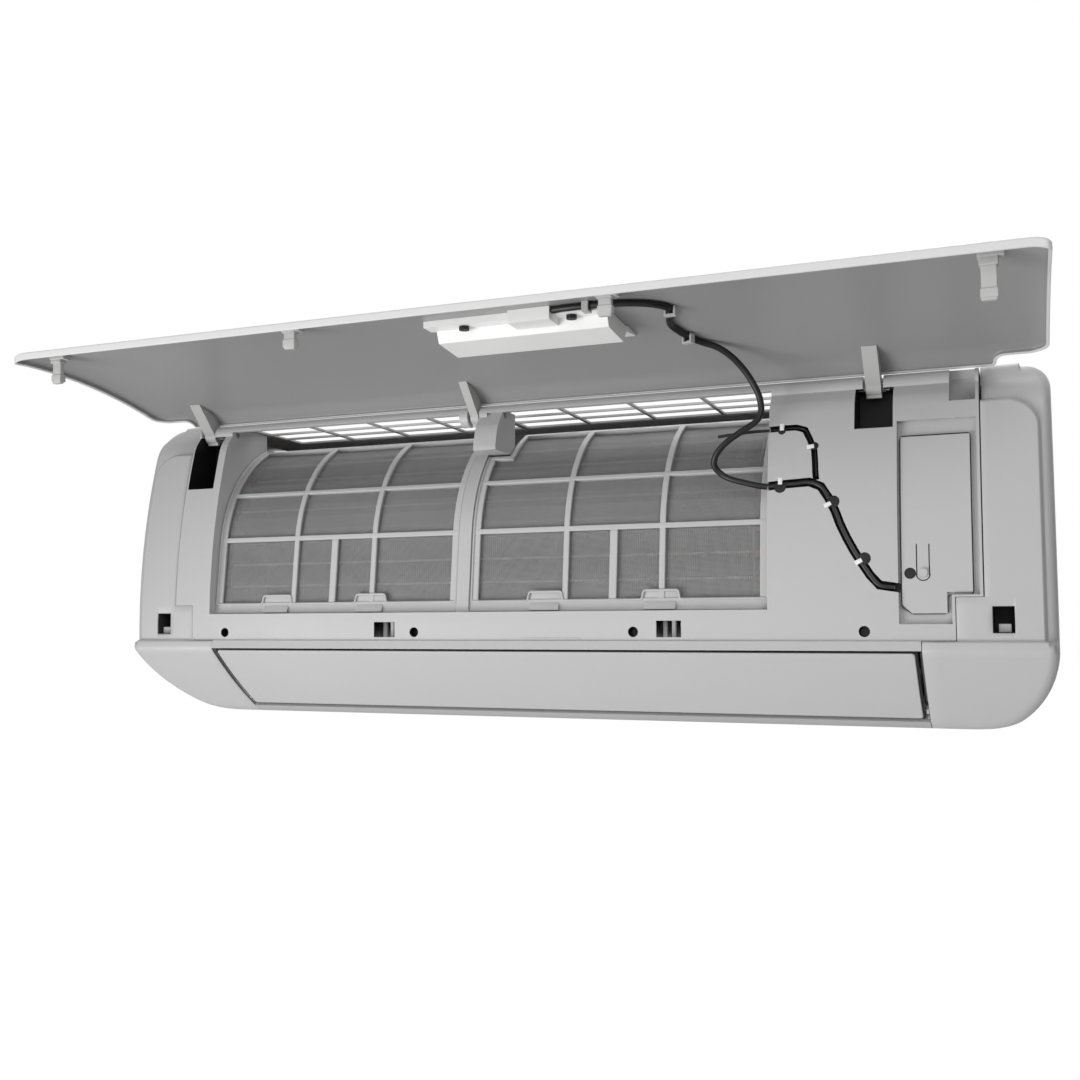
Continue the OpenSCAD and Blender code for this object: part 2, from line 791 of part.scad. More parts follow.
module rear_chassis() {
    color(shell_grey)
        difference() {
            union() {
                scroll_shell(-duct_x - duct_wall, fan_wall_x + duct_wall);
                duct_floor();
                under_skin();
                // Drip tray under the lower block, the roof of the duct and the tongue at the fan
                for (y = [[tray_front, tray_floor - tray_t, tray_back, tray_floor],
                    [tray_front, tray_floor - tray_t, tray_front + tray_t, tray_rim],
                    [tray_back - tray_t, tray_floor - tray_t, tray_back, tray_rim]])
                    box([-duct_x - duct_wall, y[0], y[1]], [fan_wall_x + duct_wall, y[2], y[3]]);
                prism(-duct_x - duct_wall, fan_wall_x + duct_wall)
                    polygon(tongue);
                prism(-duct_x - duct_wall, duct_x + duct_wall)
                    roof_section();
                prism(fan_wall_x, duct_x + duct_wall)
                    ceiling_section();
                // End walls
                prism(-duct_x - duct_wall, -duct_x)
                    polygon(duct_side());
                prism(duct_x, duct_x + duct_wall)
                    polygon(mouth_side());
                difference() {
                    prism(fan_wall_x, fan_wall_x + duct_wall)
                        polygon(chamber_side());
                    rod(fan_wall_x - cut, fan_wall_x + duct_wall + cut, fan_c, 3 * shaft_r);
                }
                // Back wall, the trough under the rear block and the roof of the pipe channel
                plate(back_y - back_t, back_y)
                    intersection() {
                        rounded(half_w - wall - seam, floor_z, top_z - wall - seam,
                            low_corner_r, top_corner_r - wall - seam);
                        area(-half_w, half_w, channel_top, back_top);
                    }
                box([-duct_x, rear_tray[0], rear_tray[1]], [fan_wall_x + duct_wall, back_y, rear_tray[1] + tray_t]);
                box([-duct_x, scroll_end[0], channel_top - tray_t], [fan_wall_x + duct_wall, back_y, channel_top]);
                // Ribs that carry the motor, and the platform of the control box
                for (x = cradle_x)
                    difference() {
                        prism(x, x + cradle_t)
                            cradle_section();
                        rod(x - cut, x + cradle_t + cut, fan_c, motor_r + seam);
                    }
                box(platform[0], platform[1]);
                for (x = screw_x)
                    prism(x - boss_r, x + boss_r)
                        pillar_section();
                for (x = spigots)
                    spigot(x);
            }
            rod(-duct_x - duct_wall - cut, cut - duct_x, fan_c, bush_seat_r);
            for (s = [-1, 1])
                rod(s * (duct_x + duct_wall / 2) - duct_wall, s * (duct_x + duct_wall / 2) + duct_wall, louver_c, bush_r);
            for (x = screw_x)
                peg(boss_back, boss_back + 2 * boss_r + cut, [x, screw_z], screw_r + play);
            for (x = spigots)
                rod(x - spigot_l - cut, x + spigot_r, spigot_c, spigot_bore);
            for (x = hook_x)
                box([x - hook_w / 2 - cut, back_y - back_t - cut, hook_z - cut],
                    [x + hook_w / 2 + cut, back_y + cut, hook_z + 3 * hook_t]);
            for (g = [0, 1])
                for (i = [0 : vane_count - 1])
                    on_floor(group_x[g] + i * vane_spacing)
                        translate([0, -vane_pivot, -tray_t - cut])
                            cylinder(r = vane_pin_r + play, h = tray_t + 2 * cut);
        }
}

// Mounting plate

plate_half = 310;
plate_z = [-95, 100];
plate_rib = 5;
plate_rib_h = 14;
plate_rib_z = [-40, 40];
plate_corner_r = 12;
pipe_gap = [65, -60];

module mounting_plate() {
    color(steel)
        difference() {
            union() {
                plate(-plate_t, 0)
                    difference() {
                        rounded(plate_half, plate_z[0], plate_z[1], plate_corner_r, plate_corner_r);
                        area(plate_half - pipe_gap[0], plate_half, plate_z[0] - cut, pipe_gap[1]);
                    }
                for (z = plate_rib_z)
                    box([plate_rib_h - plate_half, -plate_rib, z - plate_rib_h / 2],
                        [plate_half - plate_rib_h, -plate_t, z + plate_rib_h / 2]);
                for (x = hook_x) {
                    box([x - hook_w / 2, -plate_t, plate_z[1] - hook_w], [x + hook_w / 2, 0, hook_z + hook_t]);
                    box([x - hook_w / 2, back_y - back_t - 2 * hook_t, hook_z], [x + hook_w / 2, 0, hook_z + hook_t]);
                    box([x - hook_w / 2, back_y - back_t - 2 * hook_t, hook_z],
                        [x + hook_w / 2, back_y - back_t - hook_t, hook_z + 4 * hook_t]);
                }
            }
            for (x = [-1, 1])
                for (z = [-1, 1])
                    peg(-plate_rib - cut, cut, [x * fix_w / 2, z * fix_h / 2], fix_r);
        }
}

// Heat exchanger

// Comb of fins in plan, open towards its front
function comb(w, n) = concat(
    [[coil_right - coil_left, w], [0, w]],
    [for (i = [0 : n - 1]) each [
        [i * fin_spacing, 0], [i * fin_spacing + fin_t, 0],
        [i * fin_spacing + fin_t, fin_depth], [(i + 1) * fin_spacing, fin_depth]]],
    [[coil_right - coil_left, fin_depth]]);

module coil_block(c, a, h, outward) {
    translate([coil_left, c[0], c[1]])
        rotate([a, 0, 0])
            linear_extrude(h)
                translate([0, outward ? coil_t : 0])
                    mirror([0, outward ? 1 : 0])
                        polygon(comb(coil_t, floor((coil_right - coil_left) / fin_spacing) - 1));
}

module coil_lower() {
    color(steel)
        coil_block(lower_c, 0, lower_h, false);
}

module coil_upper() {
    color(steel)
        coil_block(upper_c, upper_a, upper_h, false);
}

module coil_rear() {
    color(steel)
        coil_block(rear_c, rear_a, rear_h, true);
}

module coil_sections() {
    for (b = blocks)
        translate(b[0])
            rotate(b[1])
                square([coil_t, b[2]]);
}

blocks = [[lower_c, 0, lower_h], [upper_c, upper_a, upper_h], [rear_c, rear_a, rear_h]];

module tube_sheets() {
    color(steel) {
        prism(coil_left - sheet_t, coil_left)
            coil_sections();
        prism(coil_right, coil_right + sheet_t)
            coil_sections();
    }
}

module return_bends() {
    color(copper)
        for (b = blocks)
            for (row = [0.25, 0.75])
                for (k = [0, 1])
                    for (s = [-1, 1])
                        translate([s > 0 ? coil_right + sheet_t : coil_left - sheet_t, b[0][0], b[0][1]])
                            rotate([b[1], 0, 0])
                                translate([0, row * coil_t, b[2] * (1 + 2 * k) / 4])
                                    rotate([90, 0, 0])
                                        rotate([0, 0, -90 * s])
                                            rotate_extrude(angle = 180)
                                                translate([tube_spacing / 2, 0])
                                                    circle(tube_r);
}

// Straight pipes with round corners at their turns
module pipe_run(points, r) {
    for (i = [0 : len(points) - 2]) {
        p = points[i];
        q = points[i + 1];
        v = q - p;
        translate(p)
            rotate([0, acos(v[2] / norm(v)), atan2(v[1], v[0])])
                cylinder(r = r, h = norm(v));
        if (i > 0)
            translate(p)
                sphere(r);
    }
}

pipe_gaps = [72, 86];
pipe_x = [for (g = pipe_gaps) fan_wall_x + g];
pipe_z = [-104, -120];
pipe_y = [-28, -26];
pipe_start_shares = [0.5, 0.97];
pipe_end = [70, 90];
union_l = 16;
union_r = [9.5, 7];
stub_l = 14;
stub_r = [7.9, 5.55];
stub_bore_share = 0.75;

function pipe_route(i) =
    let (y = lower_c[0] + coil_t / 2, z = lower_c[1] + pipe_start_shares[i] * lower_h)
    [[coil_right + sheet_t, y, z], [pipe_x[i], y, z], [pipe_x[i], pipe_y[i], z],
        [pipe_x[i], pipe_y[i], pipe_z[i]], [pipe_end[i], pipe_y[i], pipe_z[i]]];

module gas_pipe() {
    color(copper)
        pipe_run(pipe_route(0), gas_r);
}

module liquid_pipe() {
    color(copper)
        pipe_run(pipe_route(1), liquid_r);
}

module flare_unions() {
    color("#b5964f")
        for (i = [0, 1]) {
            r = i == 0 ? gas_r : liquid_r;
            c = [pipe_y[i], pipe_z[i]];
            difference() {
                union() {
                    translate([pipe_end[i] - union_l / 2, c[0], c[1]])
                        rotate([0, 90, 0])
                            cylinder(r = union_r[i], h = union_l, $fn = 6);
                    rod(pipe_end[i] - union_l / 2 - stub_l, pipe_end[i], c, stub_r[i]);
                }
                rod(pipe_end[i], pipe_end[i] + union_l, c, r);
                rod(pipe_end[i] - union_l - stub_l, pipe_end[i] + cut, c, r * stub_bore_share);
            }
        }
}

plug_t = 2;
module drain_plug() {
    color(black)
        difference() {
            rod(spigots[1] - spigot_l - plug_t, spigots[1] - spigot_l / 2, spigot_c, spigot_r + plug_t);
            rod(spigots[1] - spigot_l, spigots[1], spigot_c, spigot_r);
        }
}

// Fan

wheel_gaps = [5.6, 6];
wheel = [wheel_gaps[0] - duct_x, fan_wall_x - wheel_gaps[1]];
blade_in = 0.73;
blade_t = 1.2;
blade_sweep = 16;
blade_steps = 5;
disc_t = 2;
hub_r = 12;
bush_seat_r = 9;

// One blade in section: it leans forward more and more towards the rim
function blade(k) = let (
        f = k / blade_steps,
        r = fan_r * (blade_in + (1 - blade_in) * f) - disc_t / 4,
        a = blade_sweep * f * f)
    r * [cos(a), sin(a)];
function blade_section() = concat(
    [for (k = [0 : blade_steps]) blade(k)],
    [for (k = [blade_steps : -1 : 0]) blade(k) + [0, blade_t]]);

module fan_wheel() {
    color(dark_grey)
        difference() {
            union() {
                prism(wheel[0], wheel[1])
                    for (i = [0 : blade_count - 1])
                        translate(fan_c)
                            rotate(i * 360 / blade_count)
                                polygon(blade_section());
                for (i = [0 : fan_rows]) {
                    x = wheel[0] + (wheel[1] - wheel[0] - disc_t) * i / fan_rows;
                    difference() {
                        rod(x, x + disc_t, fan_c, fan_r);
                        if (i > 0 && i < fan_rows)
                            rod(x - cut, x + disc_t + cut, fan_c, fan_r * blade_in - disc_t);
                    }
                }
                rod(wheel[0], wheel[0] + hub_r, fan_c, hub_r);
                rod(wheel[1] - hub_r, wheel[1], fan_c, hub_r);
            }
            rod(wheel[0] - cut, wheel[1] + cut, fan_c, shaft_r);
        }
}

shaft_in_motor = 18;
motor_gaps = [7, 59];
motor_x = [for (g = motor_gaps) fan_wall_x + g];
motor_boss_r = 14;
motor_boss = 4;

module fan_shaft() {
    color(steel)
        rod(bush_x, motor_x[0] + shaft_in_motor, fan_c, shaft_r);
}

bush_out = 8.4;
bush_x = -duct_x - bush_out;

module fan_bush() {
    color(black)
        difference() {
            rod(bush_x, -duct_x, fan_c, bush_seat_r);
            rod(bush_x - cut, cut - duct_x, fan_c, shaft_r + play);
        }
}

module fan_motor() {
    color(white)
        difference() {
            union() {
                rod(motor_x[0], motor_x[1], fan_c, motor_r);
                rod(motor_x[0] - motor_boss, motor_x[1] + motor_boss, fan_c, motor_boss_r);
            }
            rod(motor_x[0] - motor_boss - cut, motor_x[0] + shaft_in_motor + cut, fan_c, shaft_r + play);
        }
}

clamp_t = 3;
module motor_clamp() {
    x0 = cradle_x[0];
    x1 = cradle_x[1] + cradle_t;
    color(steel)
        difference() {
            union() {
                rod(x0, x1, fan_c, motor_r + seam + clamp_t);
                box([x0, fan_c[0] - clamp_t, fan_c[1] + motor_r], [x1, fan_c[0], fan_c[1] + cradle_h]);
            }
            rod(x0 - cut, x1 + cut, fan_c, motor_r + seam);
            box([x0 - cut, fan_c[0], fan_c[1] - 2 * motor_r], [x1 + cut, fan_c[0] + 2 * motor_r, fan_c[1] + 2 * motor_r]);
        }
}

// Louver, a curved blade with stiffening ribs and an arm at each end

blade_gap_a = 0.2;
louver_arm_t = 3;
louver_rib = 5;
louver_rib_t = 2;
louver_rib_shares = [0.3, 0.72];

module louver() {
    a0 = under_a0 + blade_gap_a;
    a1 = under_a1;
    color(shell_grey) {
        prism(-louver_w / 2, louver_w / 2)
            polygon(concat(turn_points(under_c1, under_r1, a0, a1, under_steps),
                reversed(turn_points(under_c1, under_r1 - louver_t, a0, a1, under_steps))));
        for (f = louver_rib_shares)
            prism(-louver_w / 2, louver_w / 2) {
                a = a0 + (a1 - a0) * f;
                translate(turn_point(under_c1, under_r1 - louver_t / 2, a))
                    rotate(a)
                        translate([-louver_rib_t / 2, 0])
                            square([louver_rib_t, louver_rib + louver_t / 2]);
            }
        for (s = [-1, 1]) {
            x = s > 0 ? louver_w / 2 - louver_arm_t : -louver_w / 2;
            prism(x, x + louver_arm_t) {
                translate(louver_c)
                    circle(bush_r);
                polygon([louver_c + [-bush_r, 0],
                    turn_point(under_c1, under_r1 - louver_t / 2, (a0 + 2 * a1) / 3),
                    turn_point(under_c1, under_r1 - louver_t / 2, a1),
                    louver_c + [bush_r, 0]]);
            }
            rod(s > 0 ? louver_w / 2 : -duct_x - duct_wall, s > 0 ? duct_x + duct_wall : -louver_w / 2,
                louver_c, louver_pin_r);
        }
    }
}

module louver_bushes() {
    color(white)
        for (x = [-duct_x - duct_wall, duct_x])
            difference() {
                rod(x, x + duct_wall, louver_c, bush_r);
                rod(x - cut, x + duct_wall + cut, louver_c, louver_pin_r + play);
            }
}

louver_motor_r = 12;
louver_motor_t = 15;
louver_motor_shift = [4.4, 6.7];
module louver_motor() {
    color(steel)
        rod(duct_x + duct_wall + seam, duct_x + duct_wall + louver_motor_t, louver_c + louver_motor_shift, louver_motor_r);
}

// Vanes and the bars that link them

vane_count = 5;
group_x = [-270, -20];
vane_pivot = 64;
vane_front = 80;
vane_rear = 42;
vane_h = 34;
vane_chamfer = 8;
vane_pin_r = 2;
vane_arm = 14;
link_pin_r = 1.5;
link_t = 2;
link_w = 9;
link_slot = [2.1, 1.8, 3.6];

module vane(g, i) {
    color(dark_grey)
        on_floor(group_x[g] + i * vane_spacing) {
            translate([-vane_t / 2, 0, 0])
                rotate([90, 0, 90])
                    linear_extrude(vane_t)
                        polygon([[-vane_rear, seam], [-vane_front, seam], [-vane_front, vane_h - vane_chamfer],
                            [vane_chamfer - vane_front, vane_h], [-vane_rear, vane_h]]);
            translate([0, -vane_pivot, -tray_t])
                cylinder(r = vane_pin_r, h = tray_t + vane_pin_r + seam);
            translate([0, vane_arm - vane_pivot, vane_h - link_t])
                cylinder(r = link_pin_r, h = 2 * link_t + link_pin_r);
        }
}

module link(g) {
    span = vane_spacing * (vane_count - 1);
    y = vane_arm - vane_pivot;
    color(dark_grey)
        on_floor(group_x[g])
            difference() {
                box([-link_w, y - link_w / 2, vane_h + seam], [span + link_w, y + link_w / 2, vane_h + seam + link_t]);
                for (i = [0 : vane_count - 1])
                    box([i * vane_spacing - link_slot[0], y - link_slot[2], vane_h],
                        [i * vane_spacing + link_slot[0], y + link_slot[1], vane_h + 2 * link_t]);
            }
}

// Filters: left and right edge of each frame

filters = [[well_left + seam, post_left - seam], [post_right + seam, well_right - seam]];
rib_levels = [25, 72];
rib_level_share = 0.6;
tab_w = 26;
tab_places = [0.27, 0.66];
tab_inset = 3.2;
tab_h = 9;
notch_clear = 1.5;
filter_end_t = 4;

// Height band of the filter's side view, in front of its mesh
module filter_slice(x0, x1, z0, z1) {
    intersection() {
        prism(x0, x1)
            polygon(filter_band(filter_r + mesh_t, filter_r + filter_t, shelf_z + seam));
        box([x0, -panel_front, z0], [x1, 0, z1]);
    }
}

module bracket_notch() {
    box([bracket_x - cut, -panel_front, bracket_z - notch_clear],
        [bracket_x + bracket_w + notch_clear, 0, top_z]);
}

module filter_frame(k) {
    x0 = filters[k][0];
    x1 = filters[k][1];
    pitch = (x1 - x0 - rib_w) / 3;
    low = shelf_z + seam;
    top = arc_point(filter_c, filter_r, filter_t1)[1];
    color(white)
        difference() {
            union() {
                for (i = [0 : 3])
                    filter_slice(x0 + i * pitch, x0 + i * pitch + rib_w, low, top_z);
                filter_slice(x0 + 1.5 * pitch, x0 + 1.5 * pitch + rib_w, low, rib_levels[0]);
                filter_slice(x0, x1, low, low + rib_w);
                filter_slice(x0, x1, rib_levels[0], rib_levels[0] + rib_w);
                filter_slice(x0, x1, rib_levels[1], rib_levels[1] + rib_w * rib_level_share);
                filter_slice(x0, x1, top - rib_w * rib_level_share, top_z);
                for (f = tab_places)
                    box([x0 + f * (x1 - x0) - tab_w / 2, front_y(face_d + tab_inset, low), low],
                        [x0 + f * (x1 - x0) + tab_w / 2, filter_curve(filter_r + mesh_t, low)[0][0] - mesh_t, low + tab_h]);
            }
            if (k == 1)
                bracket_notch();
        }
}

module filter_mesh(k) {
    color(mesh_grey)
        difference() {
            prism(filters[k][0] + mesh_t, filters[k][1] - mesh_t)
                polygon(filter_band(filter_r, filter_r + mesh_t, shelf_z + seam + mesh_t));
            if (k == 1)
                bracket_notch();
        }
}

// Front panel and what is fixed to it, drawn shut and swung open about the hinge

panel_low = ridge_z + 0.8;
panel_t1 = 45;
panel_end_x = 382;
panel_end_z = 131;
panel_corner_r = 4;
panel_end_r = 16;
side_flange = rim_d - 2 * seam;
low_flange = face_d - seam;

// Face of the panel's inner side that its fittings stand on
fitting_gap = 0.15;
function inner_y(z) = front_y(panel_t + fitting_gap, z);

module swing() {
    translate([0, hinge[0], hinge[1]])
        rotate([-panel_open, 0, 0])
            translate([0, -hinge[0], -hinge[1]])
                children();
}

module panel_outline() {
    rounded(half_w, panel_low, panel_end_z, panel_corner_r, panel_end_r);
    area(-panel_end_x, panel_end_x, panel_low, top_z);
}

module front_panel() {
    color(panel_grey)
        swing()
            intersection() {
                union() {
                    prism(-half_w, half_w)
                        polygon(band(0, panel_t, panel_low, panel_t1));
                    for (x = [-half_w, half_w - panel_t])
                        prism(x, x + panel_t)
                            polygon(band(0, side_flange, panel_low, panel_t1));
                    intersection() {
                        prism(-half_w, half_w)
                            polygon(band(0, low_flange, panel_low, panel_t1));
                        box([-half_w, -panel_front, panel_low], [half_w, 0, panel_low + panel_t]);
                    }
                }
                plate(-panel_front, 0)
                    panel_outline();
            }
}

arm_z = [104, 134];
arm_steps = 5;
knuckle_r = 7;
tail = nose_r - seam;
arm_pin = 6;

module hinge_arm(x, w) {
    prism(x, x + w) {
        translate(hinge)
            circle(knuckle_r);
        polygon(concat([hinge - [0, knuckle_r]],
            [for (i = [0 : arm_steps]) let (z = arm_z[0] + (arm_z[1] - arm_z[0]) * i / arm_steps)
                [inner_y(z), z]],
            [hinge + [0, knuckle_r]]));
        polygon([hinge + [0, hinge_pin_r], hinge + [tail, hinge_pin_r / 2],
            hinge + [tail, -hinge_pin_r / 2], hinge - [0, hinge_pin_r]]);
    }
}

module hinge_arms() {
    color(white)
        swing() {
            for (p = pockets) {
                hinge_arm(p[4], arm_w);
                rod(max(p[4] - arm_pin, 2 * seam - seam_x), p[4] + arm_w + arm_pin, hinge, hinge_pin_r);
            }
            hinge_arm(middle_arm_x, middle_arm_w);
            rod(middle_arm_x - arm_pin, middle_arm_x + middle_arm_w + arm_pin, hinge, hinge_pin_r);
        }
}

hook_h = 5;
hook_reach = 15;
hook_width = 10;
barb = 2;

module latch_hook(x, z) {
    y0 = max(inner_y(z), inner_y(z + hook_h));
    prism(x - hook_width / 2, x + hook_width / 2)
        polygon([[y0, z], [y0 + hook_reach, z], [y0 + hook_reach, z + hook_h / 2],
            [y0 + hook_reach - 2 * barb, z + hook_h / 2 + barb], [y0 + hook_reach - 2 * barb, z + hook_h / 2],
            [y0, z + hook_h]]);
}

module latch_hooks() {
    color(white)
        swing() {
            for (x = latch_x)
                latch_hook(x, latch_z[0] + seam);
            for (s = [-1, 1])
                latch_hook(s * (end_socket_x + socket_w / 2), socket_z + hook_h / 2);
        }
}

// Display housing on the panel's inner side: strip with screw ears, body, feet and cable tab

display_x = from_recess([-340, -188]);
display_z = [-34, -20, 28, 44];
display_t = [5, 14];
display_slope = 10;
foot_x0 = from_recess([-314, -246, -204]);
foot_w = 13;
tab_x = from_recess([-266, -232]);
tab_out = 6;
ear_x = from_recess([-308, -219]);
ear_z = -27;
ear_hole_r = 2;

// Slab that stands on the panel's inner face, between two heights, to a thickness t
module on_panel(x0, x1, z0, z1, t) {
    zm = (z0 + z1) / 2;
    prism(x0, x1)
        polygon([[inner_y(z0), z0], [inner_y(z0) + t, z0], [inner_y(z1) + t, z1], [inner_y(z1), z1],
            [inner_y(zm), zm]]);
}

module display_housing() {
    color(white)
        swing()
            difference() {
                union() {
                    on_panel(display_x[0], display_x[1], display_z[0], display_z[1], display_t[0]);
                    prism(display_x[0] + display_slope / 2, display_x[1] - display_slope / 2)
                        polygon([[inner_y(display_z[1] - tab_out / 2), display_z[1] - tab_out / 2],
                            [inner_y(display_z[1]) + display_t[1], display_z[1] + tab_out / 2],
                            [inner_y(display_z[2]) + display_t[1], display_z[2] - display_slope],
                            [inner_y(display_z[2]), display_z[2]]]);
                    on_panel(tab_x[0], tab_x[1], display_z[0] - tab_out, display_z[1], 2 * display_t[0]);
                    for (x = foot_x0)
                        prism(x, x + foot_w)
                            polygon([[inner_y(display_z[2]), display_z[2] - display_t[0]],
                                [inner_y(display_z[2]) + display_t[0], display_z[2] - display_t[0]],
                                [inner_y(display_z[3]) + display_t[0] / 4, display_z[3]],
                                [inner_y(display_z[3]), display_z[3]]]);
                }
                for (x = ear_x)
                    peg(front_y(panel_t, ear_z) - cut, -panel_front + 3 * display_t[0], [x, ear_z], ear_hole_r);
            }
}

module display_screws() {
    color(steel)
        swing()
            for (x = ear_x) {
                y = inner_y(ear_z) + fitting_gap;
                peg(y, y + display_t[0] + fitting_gap, [x, ear_z], ear_hole_r - play);
                peg(y + display_t[0] + fitting_gap, y + display_t[0] + 1.5 * ear_hole_r, [x, ear_z], 2 * ear_hole_r);
            }
}

// Clips that hold the cable on the panel, each at a point of its route
clip_points = [3, 9, 14];
clip_w = 5;
clip_arm = 1.5;
module panel_clips() {
    h = cable_r + 2 * fitting_gap;
    color(white)
        swing()
            for (i = clip_points) {
                p = panel_cable[i];
                v = panel_cable[i + 1] - panel_cable[i - 1];
                translate([p[0], max(inner_y(p[1] - h - clip_arm), inner_y(p[1] + h + clip_arm)), p[1]])
                    rotate([0, -atan2(v[1], v[0]), 0])
                        difference() {
                            box([-clip_w / 2, 0, -h - clip_arm], [clip_w / 2, 2 * h + seam + clip_arm, h + clip_arm]);
                            box([-clip_w, -cut, -h], [clip_w, 2 * h + seam, h]);
                        }
            }
}

// Display cable and sensor lead

cord_gap = 1;
cable_r = 2.6;
lead_r = 1.3;
cable_sides = 8;

// Point on the shut panel's inner face, carried round with the panel
function on_open_panel(p) =
    let (v = [front_y(panel_t, p[1]) + cable_r + seam - hinge[0], p[1] - hinge[1]])
    [p[0], hinge[0] + v[0] * cos(panel_open) + v[1] * sin(panel_open),
        hinge[1] - v[0] * sin(panel_open) + v[1] * cos(panel_open)];
function in_channel(p, r) = [p[0], front_y(face_d, p[1]) + channel_depth - r - channel_play, p[1]];

panel_cable = route([[-231, -37], [-222, -38], [-213, -38.5], [-203, -38.5], [-192, -38.2],
    [-181, -36.5], [-170, -33], [-159, -27], [-151, -18], [-148, -8], [-150, 3], [-155, 14], [-157, 26],
    [-155, 38], [-150.5, 52], [-145, 62.5]]);
loop_points = route([[-144.4, -233.5, 169.2], [-140, -230, 168], [-135, -227, 166.5],
    [-129, -223.5, 163.5], [-121, -217.5, 157], [-113, -211, 147], [-106, -206, 134], [-103, -203, 124],
    [-103, -202, 114], [-108, -202, 107], [-121, -203, 99], [-133, -204, 90], [-140, -204, 81],
    [-141, -203, 73], [-135, -201, 66], [-127, -198.5, 62], [-118, -195, 59.5], [-109, -191.5, 57.3]]);
channel_cable = route([[-100, 56], [-89, 57], [-78, 57.5], [-67, 58], [-58, 54], [-52, 44.5], [-47, 34],
    [-43, 23], [-38, 12], [-32.5, 1.5], [-27, -7.5], [-21, -17], [-14, -25], [-2, -27]]);
lead_points = route([[-99.5, 103.4], [-88, 104], [-78, 104], [-71, 101.5], [-67, 93], [-63.5, 84],
    [-62.8, 75], [-62.4, 66], [-62, 62]]);
probe_points = route([[-142, -188, 100], [-131, -188, 101], [-121, -187, 102], [-112, -184, 102.7],
    [-105, -180.5, 103.2]]);

function unit(v) = v / norm(v);
function heading(p, i) = unit(p[min(i + 1, len(p) - 1)] - p[max(i - 1, 0)]);
function ring(p, i, r) =
    let (t = heading(p, i), u = unit(cross(t, [0, 1, 0])), v = cross(t, u))
    [for (k = [0 : cable_sides - 1]) let (a = 360 * k / cable_sides) p[i] + r * (cos(a) * u + sin(a) * v)];

module tube(p, r) {
    n = cable_sides;
    m = len(p);
    polyhedron(
        points = [for (i = [0 : m - 1]) each ring(p, i, r)],
        faces = concat(
            [[for (k = [0 : n - 1]) k]],
            [for (i = [0 : m - 2]) for (k = [0 : n - 1]) each [
                [i * n + k, (i + 1) * n + k, i * n + (k + 1) % n],
                [i * n + (k + 1) % n, (i + 1) * n + k, (i + 1) * n + (k + 1) % n]]],
            [[for (k = [n - 1 : -1 : 0]) (m - 1) * n + k]]));
}

module cable_on_panel() {
    color(black)
        tube([for (p = panel_cable) on_open_panel(p)], cable_r);
}

module cable_loop() {
    color(black)
        tube(concat(loop_points, [in_channel(channel_cable[0], cable_r) - [cord_gap, 0, 0]]), cable_r);
}

module cable_in_channel() {
    color(black)
        tube([for (p = channel_cable) in_channel(p, cable_r)], cable_r);
}

module sensor_lead() {
    color(black)
        tube([for (p = lead_points) in_channel(p, lead_r)], lead_r);
}

module sensor_probe() {
    color(black)
        tube(concat(probe_points, [in_channel(lead_points[0], lead_r) - [cord_gap, 0, 0]]), lead_r);
}

// Control box behind the recess, with its board, its terminals and the cover in the recess

control_reach = [22, 54];
control = [[recess_x - control_reach[0], -172, -46], [recess_x + control_reach[1], -112, 92]];
control_t = 2;
board_y = -128;
board_t = 1.6;
standoff_r = 3;
board_inset = 5;
terminal_reach = [16, 38];
terminal = [[recess_x + terminal_reach[0], -160, -20], [recess_x + terminal_reach[1], 0, 36]];

module control_box() {
    color(white)
        union() {
            difference() {
                box(control[0], control[1]);
                box(control[0] + [control_t, -cut, control_t], control[1] - [control_t, control_t, control_t]);
            }
            for (x = [control[0][0] + 2 * board_inset, control[1][0] - 2 * board_inset])
                for (z = [control[0][2] + 2 * board_inset, control[1][2] - 2 * board_inset])
                    peg(board_y + seam, control[1][1] - control_t, [x, z], standoff_r);
        }
}

capacitor_r = 9;
relay = [18, 14, 16];
module circuit_board() {
    color("#2f6b45")
        box([control[0][0] + board_inset, board_y - board_t, control[0][2] + board_inset],
            [control[1][0] - board_inset, board_y, control[1][2] - board_inset]);
    color(dark_grey) {
        peg(board_y - board_t - 2 * capacitor_r, board_y - board_t,
            [control[0][0] + 2 * capacitor_r, control[0][2] + 3 * capacitor_r], capacitor_r);
        for (k = [0 : 2])
            translate([control[0][0] + 2 * board_inset, board_y - board_t - relay[1], k * (relay[2] + 2 * board_inset)])
                cube(relay);
    }
}

module terminal_block() {
    color(dark_grey)
        difference() {
            box(terminal[0], [terminal[1][0], board_y - board_t, terminal[1][2]]);
            for (k = [0 : 4])
                peg(terminal[0][1] - cut, terminal[0][1] + terminal_depth,
                    [(terminal[0][0] + terminal[1][0]) / 2, terminal[0][2] + terminal_spacing * (k + 0.5)], terminal_r);
        }
}
terminal_depth = 8;
terminal_spacing = 11.2;
terminal_r = 3;

cover_gap = 2.4;
cover_w = 51;
cover_t = 2.5;
cover_step = 35;
cover_step_x = recess_x + cover_step;
cover_step_z = -31;
cover_low = -47;
cover_top = 91;
cover_chamfer = 7;
cover_hole = [8.5, -16.3] + [recess_x, 0];
cover_hole_r = 4.3;
tongue_slit = 0.8;
tongue_place = [13, 23, 6, -18] + [recess_x, recess_x, 0, 0];

module cover_outline() {
    polygon([[recess_x + cover_gap, cover_top], [recess_x + cover_gap, cover_low + cover_chamfer],
        [recess_x + cover_gap + cover_chamfer, cover_low], [cover_step_x, cover_low], [cover_step_x, cover_step_z],
        [recess_x + cover_gap + cover_w, cover_step_z], [recess_x + cover_gap + cover_w, cover_top]]);
}

